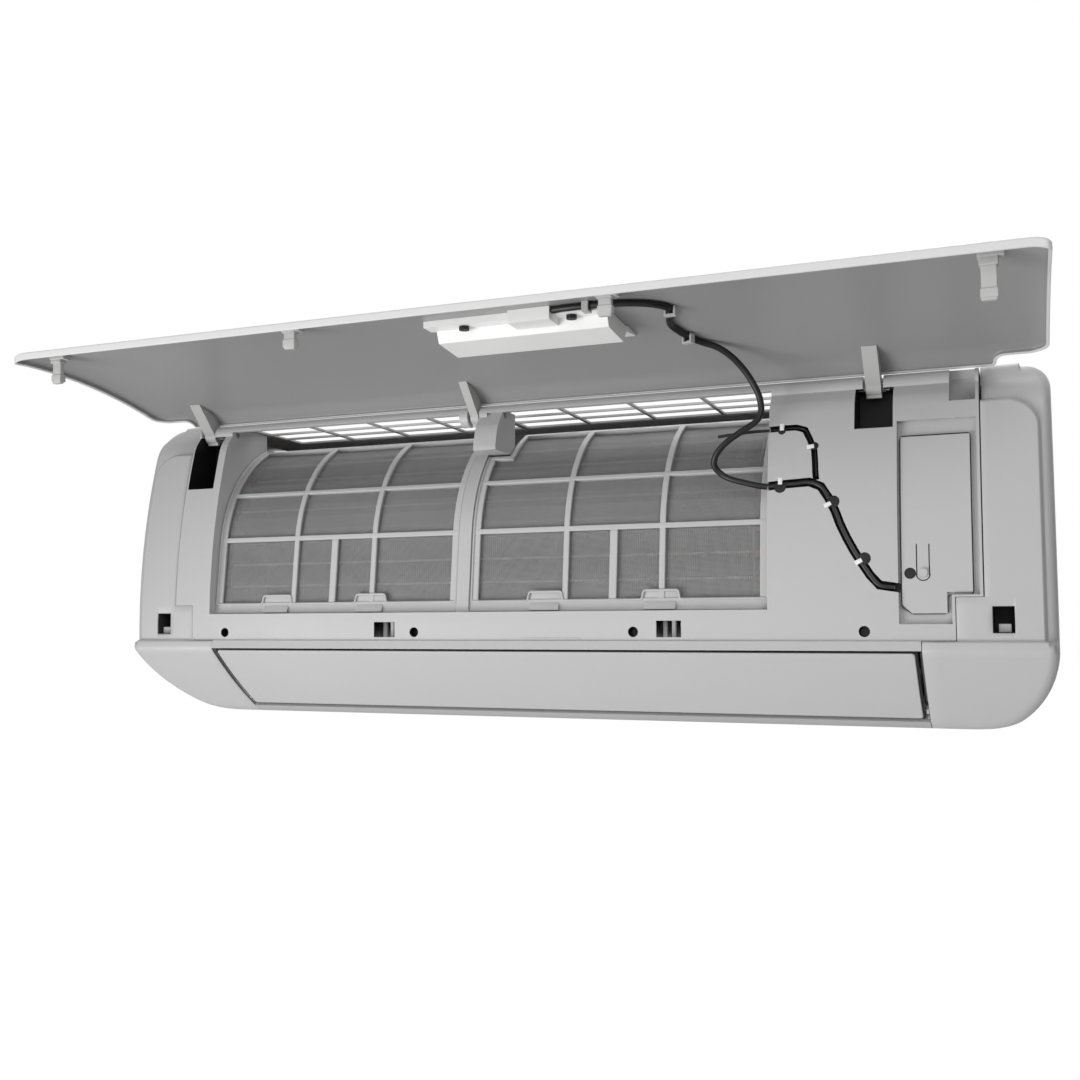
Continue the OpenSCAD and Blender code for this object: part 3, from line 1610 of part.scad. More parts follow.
module service_cover() {
    color(shell_grey)
        difference() {
            intersection() {
                prism(recess_x, recess_x + recess_w)
                    polygon(band(face_d + recess_depth - cover_t - seam, face_d + recess_depth - seam, ridge_z, face_t));
                plate(-panel_front, 0)
                    cover_outline();
            }
            peg(-panel_front, control[0][1], cover_hole, cover_hole_r);
            for (x = [tongue_place[0], tongue_place[1] - tongue_slit])
                box([x, -panel_front, tongue_place[3]], [x + tongue_slit, control[0][1], tongue_place[2]]);
            peg(-panel_front, control[0][1], screw_place, screw_r + play);
        }
}

screw_place = [18, -16] + [recess_x, 0];
module cover_screw() {
    y = front_y(face_d + recess_depth - cover_t - seam, screw_place[1]) - 2 * play;
    color(steel) {
        peg(y - screw_r, y, screw_place, 2 * screw_r);
        peg(y, y + cover_t, screw_place, screw_r);
    }
}

mounting_plate();
rear_chassis();
front_frame();
top_grille();
end_cap_left();
end_cap_right();
frame_screws();
control_box();
circuit_board();
terminal_block();
service_cover();
cover_screw();
coil_lower();
coil_upper();
coil_rear();
tube_sheets();
return_bends();
gas_pipe();
liquid_pipe();
flare_unions();
drain_plug();
fan_wheel();
fan_shaft();
fan_bush();
fan_motor();
motor_clamp();
louver();
louver_bushes();
louver_motor();
link(0);  // link_left
link(1);  // link_right
vane(0, 0);  // vane_l1
vane(0, 1);  // vane_l2
vane(0, 2);  // vane_l3
vane(0, 3);  // vane_l4
vane(0, 4);  // vane_l5
vane(1, 0);  // vane_r1
vane(1, 1);  // vane_r2
vane(1, 2);  // vane_r3
vane(1, 3);  // vane_r4
vane(1, 4);  // vane_r5
filter_frame(0);  // filter_left
filter_frame(1);  // filter_right
filter_mesh(0);  // mesh_left
filter_mesh(1);  // mesh_right
front_panel();
hinge_arms();
latch_hooks();
display_housing();
display_screws();
panel_clips();
cable_on_panel();
cable_loop();
cable_in_channel();
sensor_lead();
sensor_probe();
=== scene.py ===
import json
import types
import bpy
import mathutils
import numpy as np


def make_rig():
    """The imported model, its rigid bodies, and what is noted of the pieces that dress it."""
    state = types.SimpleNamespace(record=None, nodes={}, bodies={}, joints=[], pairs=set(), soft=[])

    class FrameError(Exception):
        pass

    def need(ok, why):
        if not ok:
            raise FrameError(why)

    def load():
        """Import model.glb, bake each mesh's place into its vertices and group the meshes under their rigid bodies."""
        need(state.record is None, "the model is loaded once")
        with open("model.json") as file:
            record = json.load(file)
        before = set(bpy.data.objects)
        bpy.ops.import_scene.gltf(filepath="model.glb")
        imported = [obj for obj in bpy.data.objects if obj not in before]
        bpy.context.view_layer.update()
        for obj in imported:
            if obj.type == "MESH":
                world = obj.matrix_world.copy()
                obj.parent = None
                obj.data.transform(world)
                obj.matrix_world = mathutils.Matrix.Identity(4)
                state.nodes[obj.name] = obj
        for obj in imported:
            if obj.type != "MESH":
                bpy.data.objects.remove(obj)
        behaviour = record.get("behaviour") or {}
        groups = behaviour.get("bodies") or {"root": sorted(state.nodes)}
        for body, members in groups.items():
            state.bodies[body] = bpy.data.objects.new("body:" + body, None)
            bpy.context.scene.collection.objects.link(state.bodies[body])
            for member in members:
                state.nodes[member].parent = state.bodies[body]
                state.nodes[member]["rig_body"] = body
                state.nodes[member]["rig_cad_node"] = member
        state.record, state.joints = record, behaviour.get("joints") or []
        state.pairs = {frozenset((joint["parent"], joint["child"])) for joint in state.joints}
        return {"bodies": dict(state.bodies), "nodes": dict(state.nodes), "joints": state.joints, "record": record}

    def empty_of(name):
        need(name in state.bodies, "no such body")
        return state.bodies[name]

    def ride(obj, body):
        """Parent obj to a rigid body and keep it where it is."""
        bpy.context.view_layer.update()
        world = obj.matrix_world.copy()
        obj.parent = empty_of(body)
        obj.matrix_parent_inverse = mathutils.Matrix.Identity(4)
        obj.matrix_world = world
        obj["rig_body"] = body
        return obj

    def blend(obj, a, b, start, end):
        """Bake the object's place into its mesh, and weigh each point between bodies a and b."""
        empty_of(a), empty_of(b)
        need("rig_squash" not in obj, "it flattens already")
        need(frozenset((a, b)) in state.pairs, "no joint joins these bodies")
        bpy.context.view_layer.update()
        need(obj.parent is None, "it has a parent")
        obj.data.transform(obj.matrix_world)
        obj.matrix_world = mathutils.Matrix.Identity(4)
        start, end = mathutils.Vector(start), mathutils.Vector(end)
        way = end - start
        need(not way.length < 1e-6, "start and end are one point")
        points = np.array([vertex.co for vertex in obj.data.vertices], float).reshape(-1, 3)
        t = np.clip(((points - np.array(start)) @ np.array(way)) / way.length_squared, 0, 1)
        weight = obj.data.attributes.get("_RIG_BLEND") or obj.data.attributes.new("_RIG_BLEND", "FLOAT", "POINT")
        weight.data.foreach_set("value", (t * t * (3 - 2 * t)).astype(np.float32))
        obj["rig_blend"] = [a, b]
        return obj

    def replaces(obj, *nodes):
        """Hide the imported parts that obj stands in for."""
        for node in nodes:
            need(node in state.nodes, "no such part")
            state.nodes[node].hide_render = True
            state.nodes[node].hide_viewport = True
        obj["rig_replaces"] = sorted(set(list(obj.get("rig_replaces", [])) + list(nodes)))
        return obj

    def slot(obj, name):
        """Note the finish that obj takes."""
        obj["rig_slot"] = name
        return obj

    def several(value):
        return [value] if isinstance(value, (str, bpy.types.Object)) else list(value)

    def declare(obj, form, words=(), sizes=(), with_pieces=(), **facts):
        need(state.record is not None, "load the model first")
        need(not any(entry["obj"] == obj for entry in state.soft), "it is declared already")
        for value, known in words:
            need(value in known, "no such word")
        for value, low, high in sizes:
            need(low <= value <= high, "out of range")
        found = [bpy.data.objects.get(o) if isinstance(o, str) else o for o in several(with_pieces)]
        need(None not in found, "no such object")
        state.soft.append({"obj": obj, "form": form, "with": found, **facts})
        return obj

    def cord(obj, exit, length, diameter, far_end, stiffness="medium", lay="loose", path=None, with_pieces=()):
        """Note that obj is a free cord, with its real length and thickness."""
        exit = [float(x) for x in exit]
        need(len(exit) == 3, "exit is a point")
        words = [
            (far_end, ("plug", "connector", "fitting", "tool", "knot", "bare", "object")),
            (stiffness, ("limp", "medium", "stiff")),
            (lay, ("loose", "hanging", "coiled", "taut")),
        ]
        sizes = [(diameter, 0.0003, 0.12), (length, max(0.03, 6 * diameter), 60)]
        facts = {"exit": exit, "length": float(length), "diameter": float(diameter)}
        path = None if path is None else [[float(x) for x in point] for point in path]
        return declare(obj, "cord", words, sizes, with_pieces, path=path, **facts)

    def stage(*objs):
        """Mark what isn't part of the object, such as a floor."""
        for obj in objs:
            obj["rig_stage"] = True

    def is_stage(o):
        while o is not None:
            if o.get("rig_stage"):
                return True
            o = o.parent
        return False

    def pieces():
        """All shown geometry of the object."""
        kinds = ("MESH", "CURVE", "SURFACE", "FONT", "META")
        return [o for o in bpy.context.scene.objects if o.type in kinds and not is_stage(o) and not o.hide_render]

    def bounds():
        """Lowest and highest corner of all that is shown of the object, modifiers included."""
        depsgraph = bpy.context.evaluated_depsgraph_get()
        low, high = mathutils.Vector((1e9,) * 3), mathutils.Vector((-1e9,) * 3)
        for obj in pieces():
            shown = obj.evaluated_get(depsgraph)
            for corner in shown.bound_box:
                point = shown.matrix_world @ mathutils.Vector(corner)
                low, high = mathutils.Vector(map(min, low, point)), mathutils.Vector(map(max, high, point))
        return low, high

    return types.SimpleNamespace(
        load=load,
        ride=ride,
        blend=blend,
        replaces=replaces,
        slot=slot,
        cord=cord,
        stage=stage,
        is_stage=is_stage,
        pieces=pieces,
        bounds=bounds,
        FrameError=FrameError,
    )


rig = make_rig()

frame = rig.load()
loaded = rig.bounds()

import json
import math

import bmesh
import bpy
import numpy as np
from bpy.props import FloatProperty, IntProperty, PointerProperty
from bpy.types import Operator, Panel, PropertyGroup

bl_info = {
    "name": "Split unit builder",
    "version": (1, 0, 0),
    "blender": (4, 5, 0),
    "location": "View3D > Sidebar > Split Unit",
    "description": "Builds the visual model of a wall-hung indoor unit on its CAD frame",
    "category": "Add Mesh",
}

MM = 0.001


# Colours, nodes and materials

def linear(hexcode):
    """An sRGB colour such as "c9cacc" as linear RGBA."""
    parts = [int(hexcode[i:i + 2], 16) / 255 for i in (0, 2, 4)]
    return [p / 12.92 if p <= 0.04045 else ((p + 0.055) / 1.055) ** 2.4 for p in parts] + [1.0]


def add(tree, kind, inputs=(), **settings):
    """Adds one shader node. inputs maps a socket's name or number to a value or to another node's output."""
    made = tree.nodes.new("ShaderNode" + kind)
    for key, value in settings.items():
        setattr(made, key, value)
    for key, value in dict(inputs).items():
        if isinstance(value, bpy.types.NodeSocket):
            tree.links.new(value, made.inputs[key])
        else:
            made.inputs[key].default_value = value
    return made


def calc(tree, operation, first, second=0.0):
    """The output of one Math node."""
    return add(tree, "Math", {0: first, 1: second}, operation=operation).outputs[0]


def blank(name):
    """A new material with an empty tree, and that tree."""
    made = bpy.data.materials.new(name)
    made.use_nodes = True
    made.node_tree.nodes.clear()
    return made, made.node_tree


def close(tree, surface):
    """Joins a shader to the material's output."""
    add(tree, "OutputMaterial", {"Surface": surface.outputs[0]})


def mottled(tree, colour, period, spread):
    """The colour, lighter and darker by the share spread, in soft patches about period metres wide."""
    place = add(tree, "TexCoord").outputs["Object"]
    patches = add(tree, "TexNoise", {"Vector": place, "Scale": 1 / period, "Detail": 3.0})
    darker = [c * (1 - spread) for c in colour[:3]] + [1.0]
    lighter = [min(c * (1 + spread), 1.0) for c in colour[:3]] + [1.0]
    mix = add(tree, "Mix", {0: patches.outputs["Fac"], 6: darker, 7: lighter}, data_type="RGBA")
    return place, mix.outputs[2]


def rough(tree, place, period, low, high):
    """Roughness that drifts between two values over patches about period metres wide."""
    patches = add(tree, "TexNoise", {"Vector": place, "Scale": 1 / period, "Detail": 2.0})
    return add(tree, "MapRange", {"Value": patches.outputs["Fac"], "From Min": 0.3, "From Max": 0.7,
                                  "To Min": low, "To Max": high}).outputs[0]


def grain(tree, place, period, depth, edge):
    """Normal of a fine grain of that period and depth in metres, with edges that look rounded by edge."""
    bumps = add(tree, "TexNoise", {"Vector": place, "Scale": 1 / period, "Detail": 2.0})
    bump = add(tree, "Bump", {"Height": bumps.outputs["Fac"], "Distance": depth, "Strength": 0.6})
    if edge:
        tree.links.new(add(tree, "Bevel", {"Radius": edge}, samples=6).outputs[0], bump.inputs["Normal"])
    return bump.outputs[0]


def plastic(name, hexcode, low, high, spread=0.02, edge=0.5 * MM, polished=False):
    """Moulded plastic: soft patches of tint, a spark-eroded grain and, where edge isn't 0, rounded edges.

    A polished one has a long, shallow ripple in place of the grain.
    """
    tint_period, gloss_period = 0.09, 0.02
    made, tree = blank(name)
    place, colour = mottled(tree, linear(hexcode), tint_period, spread)
    finish = bpy.context.scene.unit_finish
    period = finish.ripple if polished else finish.grain
    close(tree, add(tree, "BsdfPrincipled", {
        "Base Color": colour, "Roughness": rough(tree, place, gloss_period, low, high),
        "Normal": grain(tree, place, period, finish.grain_depth, edge)}))
    return made


def metal(name, hexcode, low, high, period):
    """Bare metal: patches of tint and of roughness, and fine drawing marks along its length."""
    spread, stretch = 0.08, (0.02, 1.0, 1.0)
    mark_period, mark_depth, edge = 0.3 * MM, 0.02 * MM, 0.3 * MM
    made, tree = blank(name)
    place, colour = mottled(tree, linear(hexcode), period, spread)
    along = add(tree, "Mapping", {"Vector": place, "Scale": stretch})
    close(tree, add(tree, "BsdfPrincipled", {
        "Base Color": colour, "Metallic": 1.0, "Roughness": rough(tree, place, period, low, high),
        "Normal": grain(tree, along.outputs[0], mark_period, mark_depth, edge)}))
    return made


def net():
    """Woven filter net: threads in both directions with open holes between them."""
    made, tree = blank("Woven net")
    finish = bpy.context.scene.unit_finish
    colour = mottled(tree, linear("a6a6a6"), 0.05, 0.08)[1]
    plane = add(tree, "SeparateXYZ", {0: add(tree, "UVMap", uv_map="mm").outputs[0]})
    threads = []
    for axis in (0, 1):
        share = calc(tree, "FRACT", calc(tree, "DIVIDE", plane.outputs[axis], finish.net_period / MM))
        threads.append(calc(tree, "LESS_THAN", share, finish.thread_share))
    covered = calc(tree, "MAXIMUM", *threads)
    thread = add(tree, "BsdfPrincipled", {"Base Color": colour, "Roughness": 0.55})
    hole = add(tree, "BsdfTransparent")
    close(tree, add(tree, "MixShader", {0: covered, 1: hole.outputs[0], 2: thread.outputs[0]}))
    return made


def coated_fins():
    """Coated aluminium fins: greyish metal, with a painted highlight, a near-white line, at each row of tubes where
    the fins are pressed.
    """
    made, tree = blank("Coated aluminium")
    place, colour = mottled(tree, linear("606162"), 0.03, 0.12)
    height = add(tree, "SeparateXYZ", {0: add(tree, "UVMap", uv_map="mm").outputs[0]}).outputs[1]
    period = bpy.context.scene.unit_exchanger.tube_spacing / MM
    share = calc(tree, "FRACT", calc(tree, "DIVIDE", height, period))
    # painted highlight: near-white where the pressed line would catch the light
    highlight_share = 0.05
    line = calc(tree, "LESS_THAN", calc(tree, "ABSOLUTE", calc(tree, "SUBTRACT", share, 0.5)), highlight_share)
    tint = add(tree, "Mix", {0: line, 6: colour, 7: linear("f2f3f4")}, data_type="RGBA")
    close(tree, add(tree, "BsdfPrincipled", {
        "Base Color": tint.outputs[2], "Metallic": 0.45, "Roughness": rough(tree, place, 0.01, 0.4, 0.6)}))
    return made


def circuit():
    """Solder mask: green lacquer over raised copper tracks."""
    made, tree = blank("Solder mask")
    place, colour = mottled(tree, linear("1d5a36"), 0.02, 0.15)
    tracks = add(tree, "TexBrick", {
        "Vector": place, "Scale": 180.0, "Mortar Size": 0.08, "Color1": linear("1d5a36"),
        "Color2": linear("256b42"), "Mortar": linear("2f7d4e")})
    both = add(tree, "Mix", {0: 0.5, 6: colour, 7: tracks.outputs[0]}, data_type="RGBA")
    close(tree, add(tree, "BsdfPrincipled", {
        "Base Color": both.outputs[2], "Roughness": rough(tree, place, 0.01, 0.25, 0.4)}))
    return made


def finishes():
    """Every material once, by the record's slot. The comment says what each gives the eye."""
    if "casing_abs" not in FINISH:
        FINISH.update({
            # light grey satin casing that goes soft at its edges
            "casing_abs": plastic("Satin casing ABS", "c1c1c1", 0.36, 0.48),
            # darker silver grey with more gloss, on the lid
            "panel_abs": plastic("Silver panel ABS", "9b9b9b", 0.33, 0.35, 0.01, 0, True),
            # light silver of the lid's outside and of its rim; on the rim's inner wall, which faces away from the
            # lamps, it is painted light
            "panel_outer": plastic("Bright panel ABS", "dcdcdc", 0.33, 0.35, 0.01, 0, True),
            # matt grey of the inner shell
            "chassis_abs": plastic("Matt chassis ABS", "b4b4b4", 0.5, 0.62),
            # grey matt fittings
            "inner_abs": plastic("Grey fitting ABS", "bcbcbb", 0.42, 0.55),
            # painted shade: black on the faces deep inside pockets, sockets, screw holes and the cable channel, and on
            # the display screws; the unseen flags use it too
            "shadow_plastic": plastic("Black inner ABS", "161616", 0.5, 0.6, 0.1, 0),
            # whitest plastic, on the display housing
            "display_plastic": plastic("White display ABS", "f7f7f6", 0.35, 0.45),
            # light grey filter frames, thin and flexible
            "filter_plastic": plastic("Filter frame PP", "c3c3c3", 0.45, 0.6, edge=0.35 * MM),
            # dark woven net that lets the fins show through
            "filter_mesh": net(),
            # near-black vanes and fan
            "dark_plastic": plastic("Dark moulded ABS", "3c3c3d", 0.4, 0.55, 0.05),
            # dull black rubber; the shadow lines, the channel bays and the lining behind the louver's blade use it as
            # painted shade
            "black_rubber": plastic("Black rubber", "141414", 0.6, 0.75, 0.1, 0),
            # black cable sheath with a soft sheen
            "cable_pvc": plastic("Black PVC sheath", "0d0d0e", 0.32, 0.45, 0.1, 0),
            # green lacquered board
            "board": circuit(),
            # grey metal fins with painted highlights along the rows of tubes
            "fins": coated_fins(),
            # warm drawn copper
            "copper": metal("Drawn copper", "c98a63", 0.25, 0.45, 0.01),
            # yellow turned brass
            "union_brass": metal("Turned brass", "c8a468", 0.2, 0.35, 0.008),
            # dull spangled zinc
            "zinc_plate": metal("Zinc-plated sheet", "b9bcc0", 0.35, 0.55, 0.02),
            # darker steel of screws and motors
            "screw_steel": metal("Zinc-plated steel", "8f9296", 0.3, 0.45, 0.004)})
    return FINISH


FINISH = {}
SLOT = {s["node"]: s["material_slot"] for s in frame["record"]["subparts"]}


# Meshes

def body_of(node):
    """The CAD body that a node belongs to."""
    return frame["nodes"][node]["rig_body"]


def placed(name, data):
    """A new object for a mesh, lamp or camera, in the scene's collection."""
    made = bpy.data.objects.new(name, data)
    bpy.context.scene.collection.objects.link(made)
    return made


def even_normals(made):
    """Lets large faces set the shading, so that they look even up to their rounded edges."""
    made.modifiers.new("Even normals", "WEIGHTED_NORMAL").keep_sharp = True


def piece(name, points, faces, slot, smooth=True, flat=None):
    """A mesh object at the origin in a slot's material.

    flat holds each point's place on the unrolled surface, in mm.
    """
    mesh = bpy.data.meshes.new(name)
    mesh.from_pydata(np.asarray(points).tolist(), [], [list(f) for f in faces])
    mesh.polygons.foreach_set("use_smooth", [smooth] * len(mesh.polygons))
    if flat is not None:
        corners = np.zeros(len(mesh.loops), np.int32)
        mesh.loops.foreach_get("vertex_index", corners)
        mesh.uv_layers.new(name="mm").data.foreach_set("uv", np.asarray(flat, np.float32)[corners].ravel())
    mesh.materials.append(finishes()[slot])
    mesh.update()
    made = placed(name, mesh)
    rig.slot(made, slot)
    return made


def grid_faces(rows, columns, start=0, around=False):
    """Quads of a grid of points stored row by row. around joins the last column to the first."""
    i = np.arange(rows - 1)[:, None]
    j = np.arange(columns if around else columns - 1)[None, :]
    k = (j + 1) % columns
    quads = np.stack([i * columns + j, i * columns + k, (i + 1) * columns + k, (i + 1) * columns + j], -1)
    return quads.reshape(-1, 4) + start


def spline(points, step):
    """Points every step metres or so on the Catmull-Rom curve through the given points."""
    p = np.asarray(points, float)
    p = np.vstack([2 * p[0] - p[1], p, 2 * p[-1] - p[-2]])
    runs = []
    for a, b, c, d in zip(p[:-3], p[1:-2], p[2:-1], p[3:]):
        t = np.linspace(0, 1, max(int(np.linalg.norm(c - b) / step), 2), endpoint=False)[:, None]
        runs.append(0.5 * (2 * b + (c - a) * t + (2 * a - 5 * b + 4 * c - d) * t ** 2
                           + (3 * b - a - 3 * c + d) * t ** 3))
    return np.vstack(runs + [p[-2:-1]])


def evenly(corners, step):
    """Coordinates of points every step or so along the straight runs between corners."""
    corners = np.array(corners, float)
    at = np.concatenate([[0], np.cumsum(np.linalg.norm(np.diff(corners, axis=0), axis=1))])
    fine = np.linspace(0, at[-1], int(at[-1] / step))
    return [np.interp(fine, at, values) for values in corners.T]


def swept(path, radius, sides):
    """Round tube along a path: at each point a ring of that radius, square to the path, and two closed ends.

    The ring's first direction is carried along the path, so that the tube doesn't twist.
    """
    path = np.asarray(path, float)
    way = np.gradient(path, axis=0)
    way /= np.linalg.norm(way, axis=1)[:, None]
    side = np.cross(way[0], [0.3, 1.0, 0.2])
    sides_at = []
    for t in way:
        side = side - t * (side @ t)
        side = side / np.linalg.norm(side)
        sides_at.append(side)
    u = np.array(sides_at)
    v = np.cross(way, u)
    a = np.linspace(0, 2 * np.pi, sides, endpoint=False)[None, :, None]
    rings = path[:, None] + radius * (np.cos(a) * u[:, None] + np.sin(a) * v[:, None])
    points = np.vstack([rings.reshape(-1, 3), path[:1], path[-1:]])
    n = len(path) * sides
    k = np.arange(sides)
    after = (k + 1) % sides
    start = np.stack([after, k, np.full(sides, n)], -1)
    end = np.stack([n - sides + k, n - sides + after, np.full(sides, n + 1)], -1)
    faces = grid_faces(len(path), sides, around=True)[:, ::-1].tolist()
    return points, faces + start.tolist() + end.tolist()


def solid(name, points, faces, slot, rounding=0.0, **settings):
    """A closed piece with its faces turned outwards and its sharp edges rounded to that radius in metres."""
    sharp_angle = math.radians(25)
    made = piece(name, points, faces, slot, **settings)
    work = bmesh.new()
    work.from_mesh(made.data)
    bmesh.ops.recalc_face_normals(work, faces=work.faces)
    if rounding:
        sharp = [e for e in work.edges if e.is_manifold and e.calc_face_angle(0.0) > sharp_angle]
        bmesh.ops.bevel(work, geom=sharp, offset=rounding, segments=2, profile=0.5, affect="EDGES",
                        clamp_overlap=True)
        for face in work.faces:
            face.smooth = True
    work.to_mesh(made.data)
    work.free()
    even_normals(made)
    return made


def rounded_sheet(side, columns, place, rings):
    """Closed sheet with a rounded outline.

    side holds the outline's right half as (x, s, heading of its outward normal), s growing; the left half
    mirrors it. Both faces are grids whose rows end on the outline, and rings of (offset outwards, depth) join
    them round the rim. place turns arrays of x, s and depth into points, and a ring's depth may be a function
    of s. Columns stand closer towards both ends, by the power crowding.
    """
    crowding = 1.6
    x, s, turn = (np.array(v, float) for v in zip(*side))
    share = np.linspace(-1, 1, columns)
    share = np.sign(share) * (1 - (1 - np.abs(share)) ** crowding)
    rows = len(x)

    def ring(offset, depth):
        """The whole outline moved outwards, counter-clockwise from the lower left."""
        px, ps = x + offset * np.cos(turn), s + offset * np.sin(turn)
        loop = np.concatenate([
            np.stack([share * px[0], np.full(columns, ps[0])], -1), np.stack([px, ps], -1)[1:-1],
            np.stack([-share * px[-1], np.full(columns, ps[-1])], -1), np.stack([-px, ps], -1)[-2:0:-1]])
        deep = depth(loop[:, 1]) if callable(depth) else np.full(len(loop), float(depth))
        return place(loop[:, 0], loop[:, 1], deep)

    def face(offset, depth):
        """Rows of points between the moved outline's left and right halves."""
        px, ps = x + offset * np.cos(turn), s + offset * np.sin(turn)
        gx, gs = px[:, None] * share[None, :], np.repeat(ps[:, None], columns, 1)
        return place(gx.ravel(), gs.ravel(), np.full(gx.size, float(depth)))

    count = rows * columns
    front = np.arange(count).reshape(rows, columns)
    rim = np.concatenate([front[0], front[1:-1, -1], front[-1, ::-1], front[-2:0:-1, 0]])
    points = [face(*rings[0]), face(*rings[-1])]
    faces = [grid_faces(rows, columns), grid_faces(rows, columns, count)[:, ::-1]]
    last = rim
    at = 2 * count
    for one in rings[1:-1]:
        points.append(ring(*one))
        this = np.arange(len(rim)) + at
        at += len(rim)
        faces.append(np.stack([last, np.roll(last, -1), np.roll(this, -1), this], -1))
        last = this
    this = rim + count
    faces.append(np.stack([last, np.roll(last, -1), np.roll(this, -1), this], -1))
    return np.vstack(points) * MM, np.vstack(faces)


def corner(cx, cs, r, start, end, steps=6):
    """Points of a round corner about (cx, cs), with their normals' headings, from start to end in degrees."""
    turns = np.radians(np.linspace(start, end, steps))
    return [(cx + r * math.cos(a), cs + r * math.sin(a), a) for a in turns]


def straight(x, s0, s1, step):
    """Points between two places of a straight side whose normal looks along x."""
    count = max(int((s1 - s0) / step), 1)
    return [(x, s, 0.0) for s in np.linspace(s0, s1, count + 1)[1:-1]]


def bar(path, out, half, height, lip=0.7):
    """Ridge along a path in mm: half wide to each side, rounded at its top edges, with its ends closed."""
    soft = 0.3 * lip
    path, out = np.asarray(path, float), np.asarray(out, float)
    way = np.gradient(path, axis=0)
    way /= np.linalg.norm(way, axis=1)[:, None]
    side = np.cross(way, out)
    side /= np.linalg.norm(side, axis=1)[:, None]
    across = np.array([-half, -half, soft - half, lip - half, half - lip, half - soft, half, half])
    up = np.array([-height, -lip, -soft, 0, 0, -soft, -lip, -height])
    rings = path[:, None] + across[None, :, None] * side[:, None] + up[None, :, None] * out[:, None]
    n = len(across)
    faces = grid_faces(len(path), n, around=True).tolist()
    faces += [list(range(n))[::-1], [(len(path) - 1) * n + k for k in range(n)]]
    return rings.reshape(-1, 3) * MM, faces


def joined(parts):
    """Several (points, faces) as one, the faces renumbered."""
    points, faces, at = [], [], 0
    for p, f in parts:
        points.append(np.asarray(p))
        faces += [[int(v) + at for v in q] for q in f]
        at += len(p)
    return np.vstack(points), faces


def block(low, high):
    """The eight points and six faces of a block between two corners in mm."""
    x, y, z = ((a, b) for a, b in zip(low, high))
    points = [(x[i], y[j], z[k]) for i in (0, 1) for j in (0, 1) for k in (0, 1)]
    faces = [(0, 1, 3, 2), (4, 6, 7, 5), (0, 4, 5, 1), (2, 3, 7, 6), (0, 2, 6, 4), (1, 5, 7, 3)]
    return np.array(points) * MM, faces


def length_of(path):
    """Length of a run of points."""
    return float(np.linalg.norm(np.diff(np.asarray(path), axis=0), axis=1).sum())


def smoothed(node, angle=24.0, drop=None, dark=None, slot=None):
    """A welded copy of a CAD node whose faces shade as one where they meet at less than angle degrees.

    drop turns an array of face centres in mm into a mask of faces that are left out because a piece of this
    script takes their place; the mask after it picks the faces that are painted black as the shade deep in the
    object's openings. slot stands in for the node's own material slot.
    """
    source = frame["nodes"][node].data
    work = bmesh.new()
    work.from_mesh(source)
    bmesh.ops.remove_doubles(work, verts=work.verts, dist=1e-6)
    limit = math.radians(angle)
    for edge in work.edges:
        edge.smooth = edge.is_manifold and edge.calc_face_angle(0.0) < limit
    for face in work.faces:
        face.smooth = True
    centres = np.array([f.calc_center_median() for f in work.faces]) / MM
    # the mask's faces take the second, black material: painted shade
    if dark:
        for face, black in zip(work.faces, dark(centres)):
            face.material_index = int(black)
    if drop:
        gone = [f for f, out in zip(work.faces, drop(centres)) if out]
        bmesh.ops.delete(work, geom=gone, context="FACES")
    mesh = bpy.data.meshes.new(node + "_skin")
    mesh.materials.append(finishes()[slot or SLOT[node]])
    mesh.materials.append(finishes()["shadow_plastic"])
    work.to_mesh(mesh)
    work.free()
    made = placed(node + "_skin", mesh)
    even_normals(made)
    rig.slot(made, slot or SLOT[node])
    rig.replaces(made, node)
    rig.ride(made, body_of(node))
    return made


# Settings

def metres(name, description, value, least=0.0):
    """A setting that is a length."""
    return FloatProperty(name=name, description=description, default=value, min=least, unit="LENGTH")


def watts(name, description, value):
    """A setting that is a lamp's power."""
    return FloatProperty(name=name, description=description, default=value, min=0.0, subtype="POWER")


class UnitFinish(PropertyGroup):
    """Fine texture of the plastics and of the net."""
    grain: metres("Grain", "Period of the moulded grain", 1.2 * MM, 0.1 * MM)
    grain_depth: metres("Grain depth", "Depth of the moulded grain", 0.004 * MM)
    ripple: metres("Ripple", "Period of the ripple on polished plastic", 20 * MM, 1 * MM)
    net_period: metres("Net period", "Distance between the net's threads", 0.9 * MM, 0.2 * MM)
    thread_share: FloatProperty(name="Thread share", description="Share of the period that a thread fills",
                                default=0.22, min=0.05, max=0.9)


class UnitExchanger(PropertyGroup):
    """Fins of the heat exchanger."""
    spacing: metres("Fin spacing", "Distance between fins", 1.9 * MM, 1.0 * MM)
    thickness: metres("Fin thickness", "Thickness of a fin", 0.25 * MM, 0.1 * MM)
    wave: metres("Wave", "Height of a fin's pressed wave", 0.35 * MM)
    tube_spacing: metres("Tube spacing", "Distance between rows of tubes", 21 * MM, 10 * MM)


class UnitCords(PropertyGroup):
    """Cables and sensor lead."""
    cable: metres("Cable", "Diameter of the display cable", 5.2 * MM, 1 * MM)
    lead: metres("Lead", "Diameter of the sensor lead", 2.6 * MM, 1 * MM)
    sides: IntProperty(name="Sides", description="Points round a cord", default=20, min=8)


class UnitStage(PropertyGroup):
    """Camera, lights and background."""
    lens: FloatProperty(name="Lens", description="Focal length in millimetres on a 36 mm sensor",
                        default=40.17, min=10.0)
    key: watts("Key light", "Power of the soft light on the left", 44.0)
    fill: watts("Fill light", "Power of the soft light on the right", 14.0)
    top: watts("Top light", "Power of the soft light above", 9.0)
    ambient: FloatProperty(name="Ambient", description="Strength of the even light from all round",
                           default=0.42, min=0.0)


# Routes and curves in millimetres

